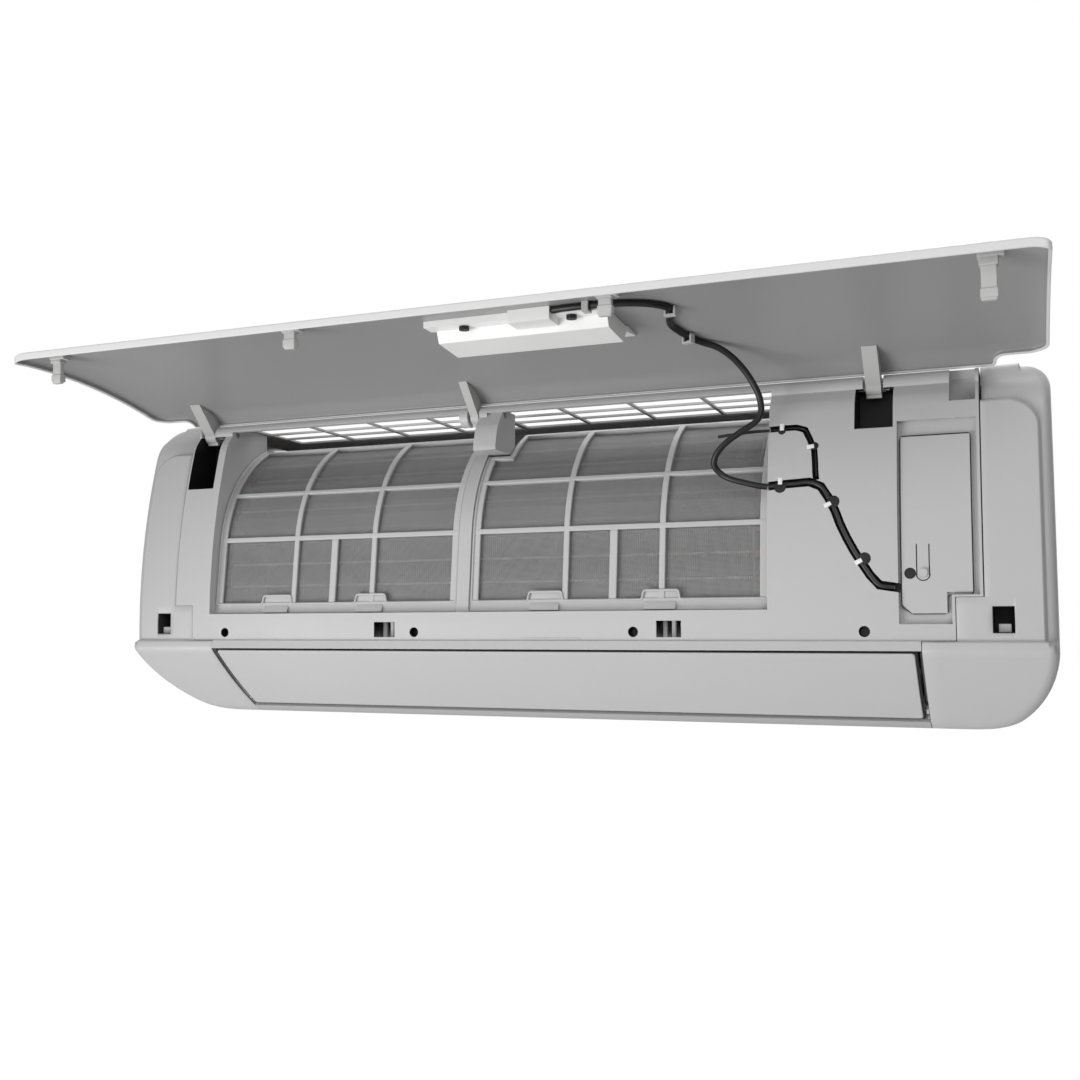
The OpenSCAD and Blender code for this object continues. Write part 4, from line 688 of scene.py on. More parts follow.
# Routes count their places along the body from the left edge of the recess over the electrics. A free cord
# goes through x, y and z, and a cord that lies on the lid or in the channel through x and height.
RECESS = 308.0
HINGE = (-160.5, 136.4)
PANEL_CABLE = [(-231, -37), (-222, -38), (-213, -38.5), (-203, -38.5), (-192, -38.2), (-181, -36.5),
               (-170, -33), (-159, -27), (-151, -18), (-148, -8), (-150, 3), (-155, 14), (-157, 26),
               (-155, 38), (-150.5, 52), (-145, 62.5)]
LOOP = [(-144.4, -233.5, 169.2), (-140, -230, 168), (-135, -227, 166.5), (-129, -223.5, 163.5),
        (-121, -217.5, 157), (-113, -211, 147), (-106, -206, 134), (-103, -203, 124), (-103, -202, 114),
        (-108, -201.5, 107), (-121, -202, 99), (-133.5, -201.5, 90.4), (-141, -199.5, 81.7),
        (-142.6, -196, 74), (-137.1, -192.4, 67.2), (-128.5, -192, 62.9), (-118.8, -191.5, 60),
        (-109.2, -190.6, 57.4)]
CHANNEL = [(-100, 56), (-89, 57), (-78, 57.5), (-67, 58), (-58, 54), (-52, 44.5), (-47, 34), (-43, 23),
           (-38, 12), (-32.5, 1.5), (-27, -7.5), (-21, -17), (-14, -25), (-2, -27)]
LEAD = [(-99.5, 103.4), (-88, 104), (-78, 104), (-71, 101.5), (-67, 93), (-63.5, 84), (-62.8, 75),
        (-62.4, 66), (-62, 62)]
PROBE = [(-142, -184.4, 100), (-131, -184.4, 101), (-121, -184, 102), (-112, -182.5, 102.7),
         (-105, -180, 103.2)]

# Arcs of the side view as y, z and radius: the front below heading BEND, the front above it, the underside
BELLY = (402.5, -40.0, 610.0)
SHOULDER_Z, SHOULDER_R = 104.94, 50.0
BEND = math.asin((SHOULDER_Z - BELLY[1]) / (BELLY[2] - SHOULDER_R))
SHOULDER = (BELLY[0] - (BELLY[2] - SHOULDER_R) * math.cos(BEND), SHOULDER_Z, SHOULDER_R)
UNDER = (116.54, 254.40, 460.0)
HALF_W, TOP, FLOOR, RIDGE = 420.0, 149.0, -147.046, -68.0
# Depths behind the shut lid's outer face: the end caps' rim, the front frame, and the lid's inner face
RIM_DEPTH, FACE_DEPTH, LID_THICK = 11.2, 7.3, 2.5
# How deep the channel for the cords is, and how far off the lid a cord lies
CHANNEL_DEPTH, LID_GAP = 5.5, 0.3


def front_point(t, depth):
    """Side view of the front at heading t: an arc about BELLY, then from BEND a short one about SHOULDER."""
    t = np.asarray(t, float)
    cy, cz, r = (np.where(t < BEND, a, b) for a, b in zip(BELLY, SHOULDER))
    return cy - (r - depth) * np.cos(t), cz + (r - depth) * np.sin(t)


def front_heading(depth, z):
    """Heading at which the front's curve reaches a height, that deep behind the closed lid."""
    z = np.asarray(z, float)
    low = z < BELLY[1] + (BELLY[2] - depth) * math.sin(BEND)
    cz, r = (np.where(low, BELLY[k], SHOULDER[k]) for k in (1, 2))
    return np.arcsin((z - cz) / (r - depth))


def front_y(depth, z):
    """Y of the front's curve at a height."""
    low = np.asarray(z, float) < BELLY[1] + (BELLY[2] - depth) * math.sin(BEND)
    cy, cz, r = (np.where(low, a, b) for a, b in zip(BELLY, SHOULDER))
    y = cy - np.sqrt((r - depth) ** 2 - (z - cz) ** 2)
    return float(y) if y.ndim == 0 else y


def opened(points):
    """Points of the shut lid turned open by a quarter turn about the hinge, in mm."""
    p = np.asarray(points, float)
    return np.stack([p[:, 0], HINGE[0] + p[:, 2] - HINGE[1], HINGE[1] - p[:, 1] + HINGE[0]], -1)


def in_channel(point, radius):
    """A route point of a cord that lies on the floor of the frame's channel."""
    return (RECESS + point[0], front_y(FACE_DEPTH, point[1]) + CHANNEL_DEPTH - radius, point[1])


def free_route(points, fixed, radius):
    """A loose cord's route, which stops 1 mm short of the start of the fixed route that it leads into."""
    x, y, z = in_channel(fixed[0], radius)
    return [(RECESS + p[0], *p[1:]) for p in points] + [(x - 1, y, z)]


def on_lid(point, radius):
    """A route point of a cord on the lid's inner face, carried round the hinge by a quarter turn."""
    out, up = front_y(LID_THICK, point[1]) + radius + LID_GAP - HINGE[0], point[1] - HINGE[1]
    return (RECESS + point[0], HINGE[0] + up, HINGE[1] - out)


def cord_piece(name, route, radius, node):
    """A round cord along a route in mm, in place of its CAD node; returns it with its centreline."""
    step = 1.2 * MM
    path = spline(np.array(route) * MM, step)
    points, faces = swept(path, radius, bpy.context.scene.unit_cords.sides)
    made = piece(name, points, faces, SLOT[node])
    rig.replaces(made, node)
    return made, path


# Steps of the build, one operator each

class UNIT_OT_camera(Operator):
    """Adds the camera that the photograph was taken with"""
    bl_idname = "unit.camera"
    bl_label = "Camera"
    # where it stands in metres, and its tilt upwards and turn to the left in degrees
    spot, tilt, turn = (0.4004, -1.1536, -0.0641), 4.56, 22.1

    def execute(self, context):
        data = bpy.data.cameras.new("Camera")
        data.lens = context.scene.unit_stage.lens
        data.sensor_width = 36.0
        data.clip_start = 0.02
        made = placed("Camera", data)
        made.location = self.spot
        made.rotation_euler = (math.radians(90 + self.tilt), 0.0, math.radians(self.turn))
        context.scene.camera = made
        return {"FINISHED"}


class UNIT_OT_cords(Operator):
    """Builds the display cable, its free loop and the sensor lead as smooth round cords"""
    bl_idname = "unit.cords"
    bl_label = "Cords"

    def execute(self, context):
        cable = context.scene.unit_cords.cable / 2
        lead = context.scene.unit_cords.lead / 2
        wide, thin = cable / MM, lead / MM
        loop, path = cord_piece("display_cable_loop", free_route(LOOP, CHANNEL, wide), cable, "cable_loop")
        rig.cord(loop, exit=path[0], length=length_of(path), diameter=2 * cable, far_end="object",
                stiffness="medium", lay="loose", path=path)
        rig.blend(loop, "panel", "body", (0.17, -0.228, 0.167), (0.185, -0.2, 0.066))
        tip, path = cord_piece("sensor_lead_end", free_route(PROBE, LEAD, thin), lead, "sensor_probe")
        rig.cord(tip, exit=path[-1], length=length_of(path), diameter=2 * lead, far_end="bare",
                stiffness="medium", lay="loose", path=path[::-1])
        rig.blend(tip, "filter_right", "body", (0.168, -0.188, 0.101), (0.2, -0.182, 0.103))
        for name, lay, route, radius, node in (
                ("display_cable_on_lid", on_lid, PANEL_CABLE, cable, "cable_on_panel"),
                ("display_cable_in_channel", in_channel, CHANNEL, cable, "cable_in_channel"),
                ("sensor_lead_in_channel", in_channel, LEAD, lead, "sensor_lead")):
            made, path = cord_piece(name, [lay(p, radius / MM) for p in route], radius, node)
            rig.ride(made, body_of(node))
        return {"FINISHED"}


class UNIT_OT_casing(Operator):
    """Gives the casing, the grille and the chassis their smooth skins, and paints black shade into the openings, seams
    and gaps in the front
    """
    bl_idname = "unit.casing"
    bl_label = "Casing"
    nodes = ("top_grille", "rear_chassis", "mounting_plate", "drain_plug")
    # pockets of the hinge arms, and latch sockets, as x0, x1, z0, z1; the faces inside them are painted black as shade
    pockets = ((-367, -337, 80, 134), (275.5, 305, 99.5, 134))
    latches = ((-148.25, -127.5, -64.75, -51.5), (116.25, 137, -64.75, -51.5))
    # three ribs stand behind each socket, out of the hook's reach
    rib_first, rib_pitch, rib_depth = 3.2, 7.6, 13.2
    # places along the body and height of the screw holes
    screws, screw_z = (-311, -108, 96, 282), -60.6
    # outline of the service cover and its depth behind the shut lid
    cover_edge = ((310, 88), (310.4, 91), (312, 91.6), (360, 91.6), (361.6, 91), (361.9, 88),
                  (361.9, -31.5), (360.5, -33), (345, -33.2), (343.4, -34.5), (343.3, -46), (342, -47.3),
                  (318, -47.3), (310, -42), (310, 88))
    cover_depth = 10.3
    # hole beside the cover's tongue, and the half circle in which the tongue's slits meet, as x, z, radius
    cover_hole, tongue = (316.5, -16.3, 4.4), (326, -17, 5)
    # radii of the black tubes that paint the shade where the tongue's slits meet and along the cover's seam
    slit_radius, seam_radius = 0.45, 0.42
    # middle of the gap beside each end cap, and the backs of the step below it, as x0, x1, z0, z1: black blocks there
    # paint the shade
    gap_x, gap_backs = 369.1, ((347.6, 351, -70, -33), (323, 351, -71, -66.5))
    # half width, height and lip of the black strip behind that gap, which paints the shade in it, and how deep it
    # stands behind the frame's face
    gap_strip, gap_depth = (1.3, 2.0, 0.2), 3
    # flat bar on the strip under the filters, as x0, x1, z0, z1
    mark = (-5.5, 49.3, -66.4, -65.2)
    # clips over the channel and the side that the cord passes them on, as x, z, side x, side z
    clips = ((217.7, 60.3, 0, -1), (254.9, 39.0, 0.9, 0.44), (278.3, -6.7, 0.9, 0.44),
             (218.2, 105.5, 0, -1), (241.1, 87.2, 1, 0.1))
    # a clip's two ends along that side, and its half width, height, lip and rise above the frame's face
    clip_ends, clip_size, clip_rise = (-2.5, 3.2), (1.9, 2.4, 0.8), 0.35
    # how far a bay's centre lies from the route, and its radius: along the lead and along the cable; a bay is a black
    # disc that paints the shade beside a clip
    lead_bay, cable_bay, lead_above = (3.6, 3.2), (5.4, 4.8), 80

    def dark(self, centres):
        """Faces of the front frame that lie inside its pockets, sockets, screw holes and cable channel, painted black
        as the shade in them.
        """
        x, y, z = centres.T
        near, screw_radius = 0.6, 4.6
        behind = y > front_y(FACE_DEPTH, np.clip(z, -70, 140)) + 0.8
        inside = np.zeros(len(x), bool)
        for x0, x1, z0, z1 in self.pockets + self.latches:
            inside |= (x > x0 - near) & (x < x1 + near) & (z > z0 - near) & (z < z1 + near)
        for at in self.screws:
            inside |= np.hypot(x - at, z - self.screw_z) < screw_radius
        for route, reach in ((CHANNEL, 4.4), (LEAD, 3.4)):
            fine = spline(np.array(route, float) + [RECESS, 0], 1.0)
            away = np.hypot(x[:, None] - fine[None, :, 0], z[:, None] - fine[None, :, 1]).min(1)
            inside |= away < reach
        return inside & behind

    def slope(self, x, z, depth):
        """A point on the front at a depth behind the shut lid."""
        return [x, front_y(depth, z), z]

    def disc(self, x, z, radius, depth, sides=24):
        """A thin round plate that follows the front at a depth."""
        thick = [0, 0.5, 0]
        k = np.arange(sides)
        after = (k + 1) % sides
        turn = 2 * np.pi * k / sides
        top = [self.slope(x, z, depth)]
        top += [self.slope(x + radius * math.cos(a), z + radius * math.sin(a), depth) for a in turn]
        faces = np.stack([0 * k, k + 1, after + 1], -1).tolist()
        faces += np.stack([0 * k + sides + 1, after + sides + 2, k + sides + 2], -1).tolist()
        faces += np.stack([k + 1, k + sides + 2, after + sides + 2, after + 1], -1).tolist()
        return np.vstack([top, np.array(top) + thick]) * MM, faces

    def outward(self, depth, z):
        """The front's outward directions at a depth and at heights."""
        lean = front_heading(depth, z)
        return np.stack([0 * lean, -np.cos(lean), np.sin(lean)], -1)

    def cover_lines(self):
        """Painted shade round the cover: a black disc inside its hole, and black tubes at the bend of its tongue's
        slits and along its seam.
        """
        x, z, radius = self.cover_hole
        parts = [self.disc(x, z, radius, self.cover_depth + 0.9)]
        x, z, radius = self.tongue
        bend = [(x + radius * math.cos(a), z + radius * math.sin(a))
                for a in np.radians(np.linspace(180, 360, 15))]
        seam = zip(*evenly(self.cover_edge, 1.5))
        for line, sunk, radius in ((bend, 0.15, self.slit_radius), (seam, 0.5, self.seam_radius)):
            path = np.array([self.slope(x, z, self.cover_depth + sunk) for x, z in line])
            parts.append(swept(path * MM, radius * MM, 8))
        return parts

    def cap_gaps(self):
        """Black strips and blocks behind the gaps between the frame and the end caps, which paint the shade in them.
        """
        parts = []
        depth = FACE_DEPTH + self.gap_depth
        z = np.concatenate([np.linspace(-34, 110, 20), np.linspace(112, 130, 8)])
        y = front_y(FACE_DEPTH, -60) + self.gap_depth
        for sign in (-1, 1):
            path = np.array([self.slope(sign * self.gap_x, v, depth) for v in z])
            parts.append(bar(path, self.outward(depth, z), *self.gap_strip))
            for x0, x1, z0, z1 in self.gap_backs:
                x0, x1 = sorted((sign * x0, sign * x1))
                parts.append(block((x0, y, z0), (x1, y + 2, z1)))
        return parts

    def latch_ribs(self):
        """Three upright ribs behind each middle latch socket."""
        parts = []
        half, deep, beyond = 1.7, 4, 1
        for x0, _, z0, z1 in self.latches:
            y = front_y(FACE_DEPTH, z0) + self.rib_depth
            for x in x0 + self.rib_first + self.rib_pitch * np.arange(3):
                parts.append(block((x - half, y, z0 - beyond), (x + half, y + deep, z1 + beyond)))
        return parts

    def execute(self, context):
        for node in self.nodes:
            smoothed(node)
        # the frame's faces deep in its pockets, sockets, screw holes and channel are painted black as shade
        smoothed("front_frame", dark=self.dark)
        smoothed("frame_screws", slot="dark_plastic")
        smoothed("service_cover")
        smoothed("cover_screw", slot="casing_abs")
        x0, x1, z0, z1 = self.mark
        y = front_y(FACE_DEPTH, (z0 + z1) / 2)
        mark = block((x0, y - 0.3, z0), (x1, y + 1, z1))
        nubs, bays = [], []
        for x, z, *side in self.clips:
            sx, sz = np.array(side) / math.hypot(*side)
            path = np.array([self.slope(x + sx * k, z + sz * k, FACE_DEPTH)
                             for k in np.linspace(*self.clip_ends, 6)])
            out = self.outward(FACE_DEPTH, path[:, 2])
            nubs.append(bar(path + self.clip_rise * out, out, *self.clip_size))
            away, radius = self.lead_bay if z > self.lead_above else self.cable_bay
            # a black disc beside the clip paints the shade there
            bays.append(self.disc(x + sx * away, z + sz * away, radius, FACE_DEPTH - 0.06))
        for name, parts, slot, rounding in (
                ("shadow_lines", self.cover_lines() + self.cap_gaps(), "black_rubber", 0.0),
                ("latch_ribs", self.latch_ribs(), "display_plastic", 0.5 * MM),
                ("edge_mark", [mark], "casing_abs", 0.2 * MM),
                ("channel_clips", nubs, "display_plastic", 0.2 * MM),
                ("channel_bays", bays, "black_rubber", 0.0)):
            made = solid(name, *joined(parts), slot, rounding)
            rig.ride(made, "body")
        return {"FINISHED"}


class UNIT_OT_lid(Operator):
    """Builds the front lid with its rounded rim, and the skins of its arms, hooks and display housing"""
    bl_idname = "unit.lid"
    bl_label = "Lid"
    nodes = ("hinge_arms", "display_housing", "panel_clips")
    # height of its free edge and of its cut-outs beside the hinge, and half its width between those
    low, end, wide = -67.2, 131.0, 382.0
    # hooks as place along the lid, height, half width and reach
    hooks = ((-382.5, -53.0, 4.5, 25), (-138, -60.5, 5.0, 18), (126.5, -60.5, 5.0, 18),
             (382.5, -53.0, 5.0, 32))
    # depth of the pad under a hook, which has to clear the end caps
    pad_depth = 4.2
    # depth of the rim at the ends, at the free edge and beside the hinge
    end_flange, low_flange, back_flange = 9.0, 6.5, 5.1
    # the rim deepens from the free edge on, as start and run of lengths up the outer face
    rise_start, rise_run = 2, 15
    # the sheet bends inwards by end_fall over its last end_run
    end_run, end_fall = 14.0, 3.0
    # corner radii at the free edge, ends, cut-outs and hinge edge, and the hinge edge's heading
    low_r, end_r, bay_r, top_r, last = 5.0, 16.0, 7.0, 4.0, math.radians(45)
    # rounding of the outer edge, wall of the rim, and curl between the rim and the inner face
    soft, wall, curl = 1.8, 2.4, 0.8
    # rounding of the rim's foot, as distance inwards from the wall's face and height above the foot
    foot = ((0.0, 0.6), (0.2, 0.15), (0.7, 0.0))

    def along(self, t):
        """Length on the lid's outer face from its low edge up to heading t."""
        start = front_heading(0, self.low)
        bend = BELLY[2] * (BEND - start)
        return np.where(t < BEND, BELLY[2] * (t - start), bend + SHOULDER[2] * (t - BEND))

    def place(self, x, s, depth):
        """The lid's point at a length along its outer face and a depth below it, opened."""
        start = front_heading(0, self.low)
        bend = BELLY[2] * (BEND - start)
        t = np.where(s < bend, start + s / BELLY[2], BEND + (s - bend) / SHOULDER[2])
        last = np.clip((np.abs(x) - HALF_W + self.end_run) / self.end_run, 0, 1)
        y, z = front_point(t, depth + self.end_fall * last ** 2)
        return opened(np.stack([x, y, z], -1))

    def lengths(self):
        """Lengths on the outer face from the free edge to the cut-outs and to the hinge edge."""
        return [float(self.along(t)) for t in (front_heading(0, self.end), np.float64(self.last))]

    def flange(self, s, above=0.0):
        """Depth of the rim less above: low at the free edge, deep at the ends, shallow beside the hinge."""
        end, top = self.lengths()
        rise = np.clip((s - self.rise_start) / self.rise_run, 0, 1)
        fall = np.clip((s - end) / (top - end), 0, 1)
        rise, fall = (v * v * (3 - 2 * v) for v in (rise, fall))
        deep = self.end_flange - self.end_fall
        return (self.low_flange + (deep - self.low_flange) * rise + (self.back_flange - deep) * fall) - above

    def rings(self):
        """The rim's rings: round the outer edge, over the foot, and up the wall to the inner face."""
        turns = np.radians(np.linspace(0, 90, 5))
        rings = [(-self.soft * (1 - math.sin(a)), self.soft * (1 - math.cos(a))) for a in turns]
        foot = [(inwards, lambda s, above=above: self.flange(s, above)) for inwards, above in self.foot]
        rings += [(-inwards, depth) for inwards, depth in foot]
        rings += [(inwards - self.wall, depth) for inwards, depth in reversed(foot)]
        return rings + [(-self.wall - inwards * self.curl, LID_THICK + above * self.curl)
                        for inwards, above in ((0, 1), (0.3, 0.3), (1, 0))]

    def hook(self, x, z, half, reach):
        """The shank of a hook, its thicker root, the pad that it stands on and its head.

        The numbers are each part's margins round the shank.
        """
        y = front_y(LID_THICK, z) - 0.3
        return [block((x - half, y, z), (x + half, y + reach, z + 4.5)),
                block((x - half - 1, y, z - 2), (x + half + 1, y + 0.3 * reach, z + 6)),
                block((x - half - 2, y, z - 2.5), (x + half + 5, y + self.pad_depth, z + 7)),
                block((x - half - 0.6, y + reach - 8, z - 0.8),
                      (x + half + 0.6, y + reach - 1.5, z + 6.2))]

    def execute(self, context):
        end, top = self.lengths()
        bay = corner(self.wide + self.bay_r, end + self.bay_r, self.bay_r, 260, 180, 7)
        side = (corner(HALF_W - self.low_r, self.low_r, self.low_r, -90, 0)
                + straight(HALF_W, self.low_r, end - self.end_r, 10)
                + corner(HALF_W - self.end_r, end - self.end_r, self.end_r, 0, 80, 9)
                + [(x, s, a - math.pi) for x, s, a in bay]
                + corner(self.wide - self.top_r, top - self.top_r, self.top_r, 0, 90))
        columns = 81
        points, faces = rounded_sheet(side, columns, self.place, self.rings())
        made = solid("lid", points, faces, "panel_abs")
        made.data.materials.append(finishes()["panel_outer"])
        # the inner face is the second grid, and its curl up to the rim is the last three strips
        grid = (len(side) - 1) * (columns - 1)
        strip = 2 * (columns - 1) + 2 * (len(side) - 1)
        # the outer face and the whole rim take the light finish; on the rim's inner wall, which faces away from the
        # lamps, that is painted light
        outer = np.ones(len(faces), np.int32)
        outer[grid:2 * grid] = 0
        outer[-3 * strip:] = 0
        made.data.polygons.foreach_set("material_index", outer)
        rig.replaces(made, "front_panel")
        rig.ride(made, "panel")
        points, faces = joined([part for one in self.hooks for part in self.hook(*one)])
        made = solid("lid_hooks", opened(points / MM) * MM, faces, "inner_abs", 0.9 * MM)
        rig.replaces(made, "latch_hooks")
        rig.ride(made, "panel")
        for node in self.nodes:
            smoothed(node)
        # the display screws are painted black all over, as the shade of the holes they sit in
        smoothed("display_screws", dark=lambda c: np.ones(len(c), bool))
        return {"FINISHED"}


class UNIT_OT_caps(Operator):
    """Builds the two end caps as shells with one soft edge all round and a raised face"""
    bl_idname = "unit.caps"
    bl_label = "End caps"
    # radius of the soft edge, and of the heel between the underside's arc and the floor
    soft, heel = 8.0, 50.0
    # where a cap begins: below the ledge, from the ledge up to step_z, and above that
    foot, step, seam, step_z = 324.3, 349.3, 369.6, -35.0
    # end, top, corner radius and edge width of the raised face
    face_x, face_top, face_r, face_edge = 412.0, 118.0, 25.0, 1.8
    # latch socket as x0, x1, z0, z1, with its depth and wall
    socket, socket_depth, socket_wall = (374.5, 390.5, -62.0, -42.0), 42, 0.6
    # corner radii of the front view
    low_r, top_r = 73.0, 22.0
    # y, upper and lower height of the line that the skin's rays start on, forward, down and back
    core = (-110.0, 119.5, -70.0)
    wall = 2.5 * MM
    # a difference that counts as none, and a distance beyond any in the object
    tiny, far_away = 1e-9, 1e3

    def outline(self):
        """Side view of a cap without its wall side: top, front with its ledge, and underside."""
        t = np.radians(np.linspace(50, math.degrees(front_heading(RIM_DEPTH, RIDGE)), 160))
        front = np.stack(front_point(t, RIM_DEPTH), -1)
        a = np.radians(np.linspace(-44, -33, 24))
        under = UNDER[:2] + UNDER[2] * np.stack([np.sin(a), -np.cos(a)], -1)
        centre = under[-1] - self.heel * np.array([math.sin(a[-1]), -math.cos(a[-1])])
        a = np.radians(np.linspace(-33, -4, 24))[1:]
        heel = centre + self.heel * np.stack([np.sin(a), -np.cos(a)], -1)
        return np.vstack([[0, TOP], [-152, TOP], front, [-201.5, RIDGE], under, heel, [0, FLOOR + 0.001]])

    def rays(self):
        """Rows of the skin as rays in the side view: up from the core, round, forward, round and down."""
        y, high, low = self.core
        back = np.linspace(0, y, 12)
        corner_z = np.arange(self.face_top, self.face_top - self.face_r - 1, -1.0)
        ahead = np.concatenate([[high, high - 0.5], corner_z, np.linspace(85, -30, 16), [-34.98, -35.02],
                                [-42, -48, -55, -62], [-65, -67.98, -68.02, low]])
        up = np.radians(np.linspace(0, 90, 26))[1:-1]
        down = np.radians(np.linspace(0, 90, 40))[1:-1]
        rows = [(b, high, 0, 1) for b in back] + [(y, high, -math.sin(a), math.cos(a)) for a in up]
        rows += [(y, z, -1, 0) for z in ahead] + [(y, low, -math.cos(a), -math.sin(a)) for a in down]
        return np.array(rows + [(b, low, 0, -1) for b in back[::-1]])

    def columns(self):
        """Places along the body: at the seams and the socket, closer over the face's corner and the edge."""
        edge = HALF_W - self.soft * (1 - np.sin(np.radians(np.linspace(4, 90, 14)))) - 0.0005
        return np.concatenate([[self.foot, 336, self.step, 359, self.seam, 374.5, 382],
                               np.arange(386, 412.1, 1.0), edge])

    def reach(self, rows, line):
        """How far each ray runs until it crosses an outline."""
        start, way = (line[:-1] - rows[:, None, :2]), np.diff(line, axis=0)[None]
        ray = rows[:, None, 2:]
        cross = ray[..., 0] * way[..., 1] - ray[..., 1] * way[..., 0]
        cross = np.where(np.abs(cross) < self.tiny, self.tiny, cross)
        reach = (start[..., 0] * way[..., 1] - start[..., 1] * way[..., 0]) / cross
        share = (start[..., 0] * ray[..., 1] - start[..., 1] * ray[..., 0]) / cross
        return np.where((share > -1e-6) & (share < 1 + 1e-6) & (reach > 0), reach, np.inf).min(1)

    def side_depth(self, p, line):
        """Distance from points to the outline of the side view."""
        nearest = np.full(p.shape[:-1], np.inf)
        for start, end in zip(line[:-1], line[1:]):
            way = end - start
            k = np.clip(((p - start) @ way) / (way @ way), 0, 1)
            nearest = np.minimum(nearest, np.linalg.norm(p - start - k[..., None] * way, axis=-1))
        return nearest

    def front_depth(self, at, z):
        """Distance inside the front view, which has a round corner above and below, at a place along it."""
        depth = np.minimum(HALF_W - at, np.minimum(TOP - z, z - FLOOR))
        for r, end, sign in ((self.top_r, TOP, 1), (self.low_r, FLOOR, -1)):
            beyond = sign * (z - end) + r
            if at > HALF_W - r:
                depth = np.where(beyond > 0, r - np.hypot(at - HALF_W + r, beyond), depth)
            else:
                depth = np.where(sign * z > 0, self.far_away, depth)
        return depth

    def face_lift(self, at, z, ahead):
        """Change in y that brings the raised face ahead of the rim, eased over the width of its edge."""
        inset = np.minimum(self.face_x - at, self.face_top - z)
        if at > self.face_x - self.face_r:
            turn = np.hypot(at - self.face_x + self.face_r, z - self.face_top + self.face_r)
            inset = np.where(z > self.face_top - self.face_r, self.face_r - turn, inset)
        rise = np.clip(inset / self.face_edge, 0, 1)
        z = np.where(ahead, z, 0.0)
        lift = (front_y(FACE_DEPTH, z) - front_y(RIM_DEPTH, z)) * rise * rise * (3 - 2 * rise)
        return np.where(ahead, lift, 0)

    def skin(self):
        """Points of the right cap, row by row.

        A point lies where d1 and d2, its distances inside the side view and inside the front view, give
        hypot(soft - d1, soft - d2) = soft, each taken as no less than zero: the two views cut one solid with
        a round edge of that radius.
        """
        rows, x = self.rays(), self.columns()
        line = self.outline()
        samples = 500
        far = self.reach(rows, line)[:, None] * np.linspace(0, 1, samples)
        p = rows[:, None, :2] + far[..., None] * rows[:, None, 2:]
        d1 = self.side_depth(p, line)
        n = np.arange(len(rows))
        out = np.zeros((len(rows), len(x), 3))
        for j, at in enumerate(x):
            d2 = self.front_depth(at, p[..., 1])
            f = self.soft - np.hypot(np.maximum(self.soft - d1, 0), np.maximum(self.soft - d2, 0))
            k = samples - 1 - np.argmax((f > -self.tiny)[:, ::-1], 1)
            after = np.minimum(k + 1, samples - 1)
            drop = np.maximum(f[n, k] - f[n, after], self.tiny)
            hit = far[n, k] + (far[n, after] - far[n, k]) * np.clip(f[n, k] / drop, 0, 1)
            y, z = rows[:, 0] + hit * rows[:, 2], rows[:, 1] + hit * rows[:, 3]
            ahead = (rows[:, 2] == -1) & (z > RIDGE) & (z < self.face_top)
            out[:, j] = np.stack([np.full(len(rows), at), y + self.face_lift(at, z, ahead), z], -1)
        return out

    def execute(self, context):
        skin = self.skin()
        rows, cols = skin.shape[:2]
        quads = grid_faces(rows, cols)
        mid = skin.reshape(-1, 3)[quads].mean(1)
        x, y, z = mid.T
        own = (x > self.seam) | (x > self.step) & (z < self.step_z) | (z < RIDGE)
        x0, x1, z0, z1 = self.socket
        hole = (x > x0) & (x < x1) & (z > z0) & (z < z1) & (y < self.core[0])
        quads = quads[own & ~hole]
        side = [(k + 1) * cols - 1 for k in range(rows)]
        for name, sign in (("right", 1), ("left", -1)):
            points = skin.reshape(-1, 3) * [sign * MM, MM, MM]
            faces = quads.tolist() + [side[::-1]]
            if sign > 0:
                faces = [f[::-1] for f in faces]
            used = sorted({v for f in faces for v in f})
            new = {v: k for k, v in enumerate(used)}
            faces = [[new[v] for v in f] for f in faces]
            made = piece("end_cap_shell_" + name, points[used], faces, "casing_abs")
            wall = made.modifiers.new("Wall", "SOLIDIFY")
            wall.thickness = self.wall
            wall.offset = -1
            even_normals(made)
            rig.replaces(made, "end_cap_" + name)
            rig.ride(made, "body")
        y0 = front_y(FACE_DEPTH, z0) + 0.3
        y1, wall = y0 + self.socket_depth, self.socket_wall
        walls = joined([block((x0, y0, z0), (x0 + wall, y1, z1)), block((x1 - wall, y0, z0), (x1, y1, z1)),
                        block((x0, y0, z0), (x1, y1, z0 + wall)), block((x0, y0, z1 - wall), (x1, y1, z1)),
                        block((x0, y1, z0), (x1, y1 + wall, z1))])
        catch = block((x0 + 4, y0 + 5, z0 + wall), (x1 - 3, y0 + 11, z0 + 7))
        for name, sign in (("right", 1), ("left", -1)):
            made = solid("end_socket_" + name, walls[0] * [sign, 1, 1], walls[1], "dark_plastic")
            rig.ride(made, "body")
            made = solid("end_catch_" + name, catch[0] * [sign, 1, 1], catch[1], "chassis_abs", 0.5 * MM)
            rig.ride(made, "body")
        return {"FINISHED"}


